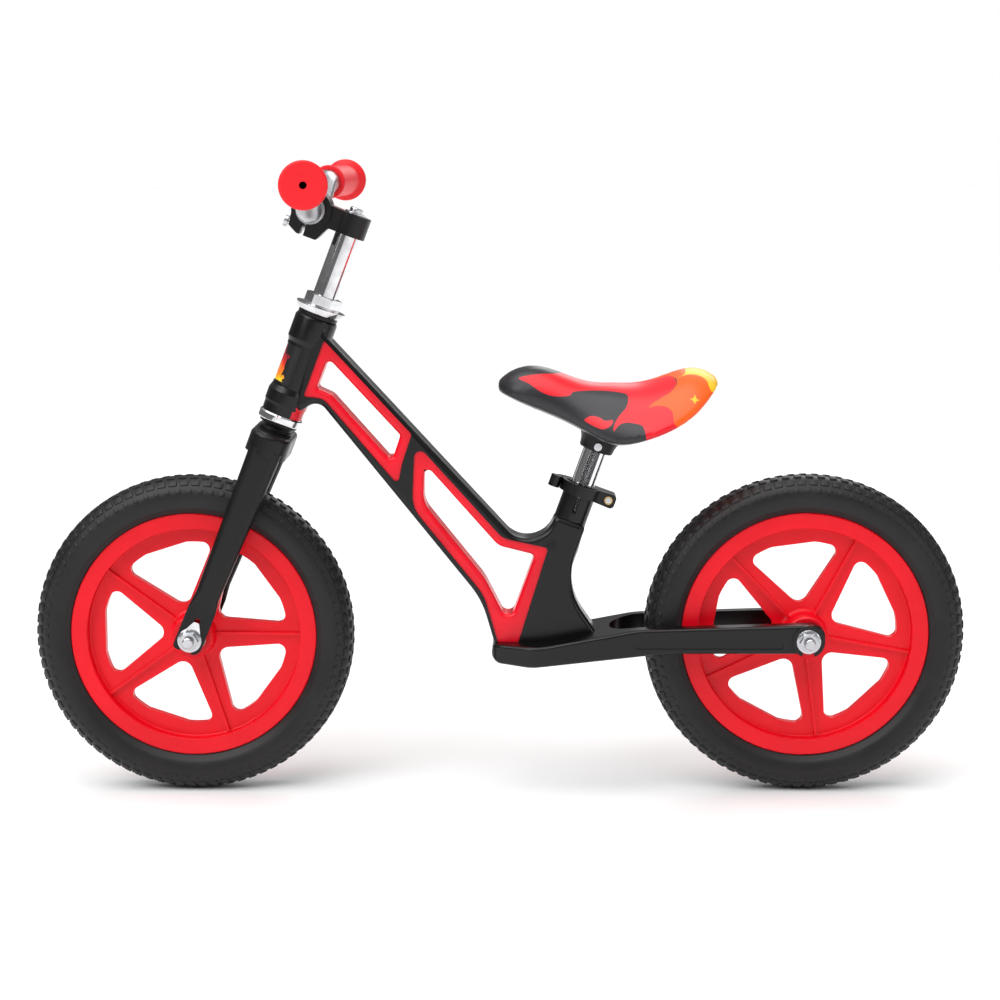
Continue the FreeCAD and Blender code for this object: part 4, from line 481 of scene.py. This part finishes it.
frameBlack = satinPaint("frameBlack", (0.0022, 0.0022, 0.0025), 0.27, coat=0.1)
frameRed = satinPaint("frameRed", (0.70, 0.0005, 0.014), 0.3, coat=0.15)
forkBlack = satinPaint("forkBlack", (0.0025, 0.0025, 0.0028), 0.34, coat=0.05)
barSteel = metal("barSteel", (0.52, 0.52, 0.54), 0.3, 0.05)
clampBlack = satinPaint("clampBlack", (0.002, 0.002, 0.0022), 0.3, coat=0.15)
wheelRed = moulded("wheelRed", (0.74, 0.0003, 0.010), 0.34)
blackPlastic = moulded("blackPlastic", (0.004, 0.004, 0.0045), 0.46)
gripRubber = moulded("gripRubber", (0.80, 0.012, 0.020), 0.48, 2200.0, 0.2)
stemBlack = satinPaint("stemBlack", (0.0022, 0.0022, 0.0025), 0.34, coat=0.05)
chromePlate = metal("chromePlate", (0.80, 0.80, 0.82), 0.09)
zincPlate = metal("zincPlate", (0.66, 0.67, 0.70), 0.22, 0.05)
postChrome = knurledChrome()
brassTurned = metal("brassTurned", (0.72, 0.50, 0.18), 0.28, 0.05)
blackSteel = satinPaint("blackSteel", (0.003, 0.003, 0.0033), 0.36)
tyreFinish = tyreRubber()
print("finishes are made")


# Frame casting: black, with red bands round both windows

badgeLook = {"lean": math.radians(21), "crownTop": (-199.96, 329.92), "bottom": 43, "top": 79, "radius": 16.9,
             "halfWidth": 15.3}


def badgePaint():
    # small flames that rise up the front of the head tube
    paint = Finish("badgePaint", (0.0075, 0.0075, 0.008), 0.3, **{"Coat Weight": 0.25})
    x, y, z = paint.split()
    sine, cosine = math.sin(badgeLook["lean"]), math.cos(badgeLook["lean"])
    startX, startZ = (value * mm for value in badgeLook["crownTop"])
    height = x * sine + z * cosine - (startX * sine + startZ * cosine + badgeLook["bottom"] * mm)
    share = height / ((badgeLook["top"] - badgeLook["bottom"]) * mm)
    across = y.size() / (badgeLook["halfWidth"] * mm)
    licks = paint.noise(1.0, 1.5, 0.5, paint.mapped(scale=(0.011, 0.0042, 0.013)))
    edge = licks * 1.7 - share * 0.62 - across ** 3.0 * 0.5 - 0.36
    mask = edge.between(0.0, 0.05) * share.above(0.04) * across.below(1.0) * share.below(0.93)
    heat = share + (licks - 0.5) * 0.8
    color = paint.node("ShaderNodeValToRGB", {"stops": [
        (0.05, (1.0, 0.62, 0.02)), (0.28, (1.0, 0.22, 0.01)), (0.55, (0.75, 0.03, 0.02)),
        (0.85, (0.25, 0.004, 0.02))]}, heat)
    paint.set("Base Color", paint.mix(mask, (0.0075, 0.0075, 0.008), color))
    paint.set("Roughness", paint.noise(30.0, 3.0) * 0.12 + 0.24)
    paint.bump(paint.noise(900.0, 2.0), 0.06, 0.0004)
    return paint.material


def fillSlivers(mesh, largest):
    # small faces shut in by red ones are red too
    sharing = {}
    for face in mesh.polygons:
        for edge in face.edge_keys:
            sharing.setdefault(edge, []).append(face.index)
    for _ in range(3):
        for face in mesh.polygons:
            if face.material_index == 1 or face.area > largest:
                continue
            beside = [other for edge in face.edge_keys for other in sharing[edge] if other != face.index]
            red = sum(mesh.polygons[other].material_index == 1 for other in beside)
            if beside and red > 0.6 * len(beside):
                face.material_index = 1


def makeFrame():
    shape = {"floor": 15.4, "edge": 0.9, "smoothAngle": 40, "windowReach": 0.12, "sliver": 60e-6,
             "near": 0.25}
    piece = nodeCopy("frame_casting")
    addModifier(piece, "BEVEL", width=shape["edge"] * mm, segments=2, limit_method="ANGLE",
                angle_limit=math.radians(50), use_clamp_overlap=True)
    smooth(piece, shape["smoothAngle"])
    finishPiece(piece, "frameCasting", "frame", [frameBlack, frameRed, badgePaint()],
                ["frame_casting"])
    webBox = {"x": (-0.192, 0.036), "z": (0.158, 0.425)}
    sine, cosine = math.sin(badgeLook["lean"]), math.cos(badgeLook["lean"])
    startX, startZ = badgeLook["crownTop"]
    corners = [vertex.co for vertex in piece.data.vertices]
    solid = BVHTree.FromPolygons(corners, [tuple(face.vertices) for face in piece.data.polygons])
    for face in piece.data.polygons:
        x, y, z = face.center / mm
        inWeb = webBox["x"][0] < x * mm < webBox["x"][1] and webBox["z"][0] < z * mm < webBox["z"][1]
        across = Vector((face.normal.x, 0, face.normal.z))
        if not inWeb or abs(y) > shape["floor"] + shape["near"]:
            continue
        onFloor = abs(abs(y) - shape["floor"]) < shape["near"] and abs(face.normal.y) > 0.9
        facesWindow = across.length > 0.05 and solid.ray_cast(
            face.center + across.normalized() * 0.0004, across, shape["windowReach"])[0] is not None
        if onFloor or facesWindow:
            face.material_index = 1
    fillSlivers(piece.data, shape["sliver"])
    for face in piece.data.polygons:
        x, y, z = face.center / mm
        back = (x - startX) * cosine - (z - startZ) * sine
        along = (x - startX) * sine + (z - startZ) * cosine
        inBadge = badgeLook["bottom"] - 1 < along < badgeLook["top"] + 1 and back < 0
        if inBadge and abs(math.hypot(back, y) - badgeLook["radius"]) < shape["near"]:
            face.material_index = 2
    return piece


makeFrame()
print("frame is made")


# Wheels and tyres

tyreLook = {
    "profile": [  # radius and height of one side, from the rim's bed outwards
        (101.2, 10.6), (110.8, 11.8), (111.6, 15.2), (112.6, 16.4), (114.4, 17.3), (116.0, 18.9),
        (117.0, 19.6),
        (120.5, 20.6), (125.0, 21.3), (129.5, 21.1), (133.0, 20.0), (136.2, 17.9), (139.2, 14.6),
        (141.8, 10.2),
        (143.2, 5.0), (143.5, 0.0)],
    "blocks": 84,
    "shoulder": {"size": (7.6, 3.0, 6.4), "radius": 138.6, "height": 14.6, "lean": 42, "round": 0.8},
    "upper": {"size": (4.6, 2.0, 4.4), "radius": 132.4, "height": 19.6, "lean": 64, "round": 0.6},
    "tread": {"size": (6.6, 2.6, 7.6), "radius": 142.9, "height": 5.2, "lean": 12, "round": 0.7},
}


def makeTyre(end, node, bodyName):
    side = tyreLook["profile"]
    profile = [*side, *[(radius, -height) for radius, height in reversed(side[:-1])]]
    parts = [lathe(f"{end}Tyre", profile, 180)]
    count = tyreLook["blocks"]
    step = 360 / count
    for row, turn in (("shoulder", 0.0), ("upper", step / 2), ("tread", step / 4)):
        look = tyreLook[row]
        along, thick, wide = look["size"]
        for sign in (-1, 1):
            piece = block((thick, along, wide), look["round"])
            placed(piece, Matrix.Translation((look["radius"] * mm, 0, sign * look["height"] * mm))
                   @ Matrix.Rotation(math.radians(-sign * look["lean"]), 4, "Y"))
            parts.append(ringOf(piece, count, turn + (step / 2 if sign > 0 else 0)))
    piece = joined(f"{end}Tyre", parts)
    smooth(piece, 40, weighted=False)
    low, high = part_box(node)
    centre = (Vector(low) + Vector(high)) / 2
    placed(piece, Matrix.Translation(centre) @ Matrix.Rotation(math.radians(90), 4, "X"))
    return finishPiece(piece, f"{end}TyreTread", bodyName, tyreFinish, [node])


for end in ("front", "rear"):
    makeTyre(end, f"{end}_tyre", f"{end}_wheel")
    refined(f"{end}_wheel_rim", wheelRed, 0.7, 3, 40)
print("wheels are made")


# The rest of the metalwork and the controls keep their CAD shape with softened edges

plainPieces = {
    "frame_plug": (blackPlastic, 0.2), "upper_head_cup": (blackSteel, 0.3),
    "lower_head_cup": (chromePlate, 0.3),
    "seat_clamp_collar": (clampBlack, 0.6), "seat_clamp_nut": (brassTurned, 0.3),
    "seat_clamp_skewer": (zincPlate, 0.3), "seat_clamp_pin": (zincPlate, 0.2),
    "seat_clamp_cam_pad": (chromePlate, 0.3), "seat_clamp_lever": (clampBlack, 0.9),
    "rear_axle": (zincPlate, 0.3), "rear_axle_nuts": (zincPlate, 0.3), "rear_axle_spacers": (blackSteel, 0.3),
    "front_axle": (zincPlate, 0.3), "front_axle_nuts": (zincPlate, 0.3),
    "front_axle_spacers": (blackSteel, 0.3),
    "front_tab_washers": (chromePlate, 0.3), "steerer_tube": (blackSteel, 0.3),
    "fork_crown": (forkBlack, 1.6),
    "left_fork_leg": (forkBlack, 0.9), "right_fork_leg": (forkBlack, 0.9), "crown_race": (blackSteel, 0.3),
    "upper_cone": (zincPlate, 0.2), "dust_cover": (chromePlate, 0.25), "keyed_washer": (zincPlate, 0.2),
    "head_lock_nut": (chromePlate, 0.35), "stem_head": (stemBlack, 0.7), "quill_tube": (chromePlate, 0.2),
    "expander_wedge": (zincPlate, 0.3), "expander_bolt": (zincPlate, 0.3),
    "expander_washer": (zincPlate, 0.3),
    "bar_clamp_bolt": (zincPlate, 0.3), "handlebar": (barSteel, 0.0), "left_grip": (gripRubber, 0.5),
    "right_grip": (gripRubber, 0.5), "seat_post": (postChrome, 0.25), "saddle_base": (blackPlastic, 0.6),
    "saddle_screw": (zincPlate, 0.3),
}
for node, (finish, edge) in plainPieces.items():
    piece = refined(node, finish, edge)
hidden = {"front_hub_sleeve": zincPlate, "rear_hub_sleeve": zincPlate, "front_bearing_inner_races": zincPlate,
          "rear_bearing_inner_races": zincPlate, "front_bearing_outer_races": zincPlate,
          "rear_bearing_outer_races": zincPlate, "front_bearing_balls": chromePlate,
          "rear_bearing_balls": chromePlate, "lower_head_balls": chromePlate, "upper_head_balls": chromePlate}
for node, finish in hidden.items():
    frame["nodes"][node].data.materials.clear()
    frame["nodes"][node].data.materials.append(finish)
print("metalwork is made")


# Saddle: a moulded pad with a printed skin

saddleLook = {
    "voxel": 2.4,
    "viewRise": math.radians(8.67),     # the outlines lie on the pad as seen from this much above
    "smoothing": 4,
    "fill": 0.9,      # how far the padding pushes the skin out again after it is smoothed
    # outlines of the print's colours: distance along the bike, height up the pad, in millimetres
    "red": [(18.7, 370.9), (27.3, 373.6), (39.3, 375.0), (51.4, 375.6), (63.4, 378.0),
            (79.5, 376.0), (95.5, 372.0),
            (114.3, 372.4), (133.0, 376.9), (149.7, 376.3), (156.3, 370.2), (157.6, 366.6), (155.7, 362.2),
            (151.1, 357.3), (143.1, 352.4), (136.0, 348.0), (132.9, 343.9), (139.8, 345.7), (147.2, 344.7),
            (152.6, 340.4), (166.0, 330.0), (154.0, 312.0), (134.0, 308.0), (127.9, 326.0), (121.2, 329.5),
            (113.1, 330.6), (107.7, 329.0), (104.4, 325.8), (102.0, 322.7), (102.6, 328.7), (107.0, 336.7),
            (112.8, 343.6), (115.0, 350.0), (113.9, 356.2), (103.6, 358.8), (90.2, 360.0), (76.8, 359.7),
            (66.8, 358.4), (64.1, 355.4), (56.7, 354.4), (47.4, 355.1), (38.0, 358.8), (27.9, 365.9)],
    "blob": [(76.6, 333.4), (82.2, 336.8), (89.2, 335.7), (94.6, 332.5), (101.3, 333.0), (100.0, 328.5),
             (93.3, 325.0), (86.3, 327.1), (80.9, 330.1)],
    "orange": [(84.0, 371.5), (100.0, 369.4), (120.0, 369.0), (140.1, 370.7), (150.7, 373.4), (157.5, 370.4),
               (158.2, 366.0), (155.7, 361.6), (151.1, 356.9), (143.1, 352.0), (136.0, 347.6), (132.9, 343.9),
               (139.8, 345.3), (147.2, 344.3), (152.6, 340.0), (160.0, 325.0), (205.0, 335.0), (204.0, 385.0),
               (150.0, 390.0), (110.0, 384.0)],
    "yellow": [(159.0, 371.2), (166.3, 375.8), (170.3, 390.5), (200.3, 389.1), (204.7, 368.2), (190.5, 357.9),
               (186.5, 361.9), (184.8, 367.5), (181.0, 371.4), (174.3, 373.8), (166.3, 373.6)],
    "spark": [(167.9, 351.5), (171.4, 351.6), (172.9, 354.9), (174.4, 351.2), (177.2, 349.9), (173.9, 349.0),
              (172.4, 346.0), (171.2, 349.4)],
}


def smoothOutline(points, steps=6):
    # a closed curve through the points
    count = len(points)
    curve = []
    for index in range(count):
        a, b, c, d = (Vector(points[(index + shift) % count]) for shift in (-1, 0, 1, 2))
        for step in range(steps):
            t = step / steps
            curve.append(0.5 * (2 * b + (c - a) * t + (2 * a - 5 * b + 4 * c - d) * t ** 2
                                + (3 * b - a - 3 * c + d) * t ** 3))
    return numpy.array([tuple(point) for point in curve])


def depthInside(flat, outline):
    # how far each point lies inside a closed outline, less than nothing outside it
    nearest = numpy.full(len(flat), 1e9)
    inside = numpy.zeros(len(flat), bool)
    for start, end in zip(outline, numpy.roll(outline, -1, axis=0)):
        side = end - start
        share = numpy.clip(((flat - start) @ side) / max(side @ side, 1e-12), 0, 1)
        gap = flat - start - share[:, None] * side
        nearest = numpy.minimum(nearest, numpy.hypot(gap[:, 0], gap[:, 1]))
        crosses = (start[1] > flat[:, 1]) != (end[1] > flat[:, 1])
        level = end[1] - start[1] if abs(end[1] - start[1]) > 1e-12 else 1e-12
        inside ^= crosses & (flat[:, 0] < start[0] + (flat[:, 1] - start[1]) * side[0] / level)
    return numpy.where(inside, nearest, -nearest)


def saddleSkin():
    skin = Finish("saddleSkin", (0.02, 0.02, 0.023), 0.34, **{"Specular IOR Level": 0.45,
                                                              "Coat Roughness": 0.22})
    pores = skin.noise(1500.0, 3.0)
    broad = skin.noise(18.0, 3.0)
    soft = broad.between(0.35, 0.7)
    color = skin.mix(soft, (0.016, 0.016, 0.019), (0.026, 0.026, 0.030))
    layers = (
        ("red", (0.74, 0.001, 0.012), (0.82, 0.003, 0.018)),
        ("blob", (0.76, 0.012, 0.024), (0.80, 0.02, 0.03)),
        ("orange", (0.90, 0.09, 0.001), (0.95, 0.12, 0.002)),
        ("yellow", (0.95, 0.50, 0.004), (0.98, 0.58, 0.006)),
        ("spark", (0.95, 0.50, 0.004), (0.98, 0.58, 0.006)))
    for name, first, second in layers:
        depth = skin.node("ShaderNodeAttribute", {"attribute_name": name}, output="Fac")
        color = skin.mix(depth.between(-0.25, 0.25), color, skin.mix(soft, first, second))
    skin.set("Base Color", color)
    skin.set("Roughness", pores * 0.14 + broad * 0.06 + 0.24)
    skin.bump(pores, 0.1, 0.0003)
    return skin.material


def makeSaddle():
    pad = nodeCopy("saddle_pad")
    addModifier(pad, "REMESH", mode="VOXEL", voxel_size=saddleLook["voxel"] * mm)
    addModifier(pad, "SMOOTH", factor=0.5, iterations=saddleLook["smoothing"])
    addModifier(pad, "DISPLACE", strength=saddleLook["fill"] * mm, mid_level=0)
    addModifier(pad, "SUBSURF", levels=1, render_levels=1)
    places = numpy.empty(len(pad.data.vertices) * 3)
    pad.data.vertices.foreach_get("co", places)
    places = places.reshape(-1, 3) / mm
    rise = saddleLook["viewRise"]
    seenHeight = places[:, 2] * math.cos(rise) - numpy.abs(places[:, 1]) * math.sin(rise)
    flat = numpy.stack([places[:, 0], seenHeight], 1)
    for name in ("red", "blob", "orange", "yellow", "spark"):
        depth = depthInside(flat, smoothOutline(saddleLook[name]))
        pad.data.attributes.new(name, "FLOAT", "POINT").data.foreach_set("value", depth.astype(numpy.float32))
    smooth(pad, 60, weighted=False)
    finishPiece(pad, "saddlePad", "seat", saddleSkin(), ["saddle_pad"])


makeSaddle()
print("saddle is made")
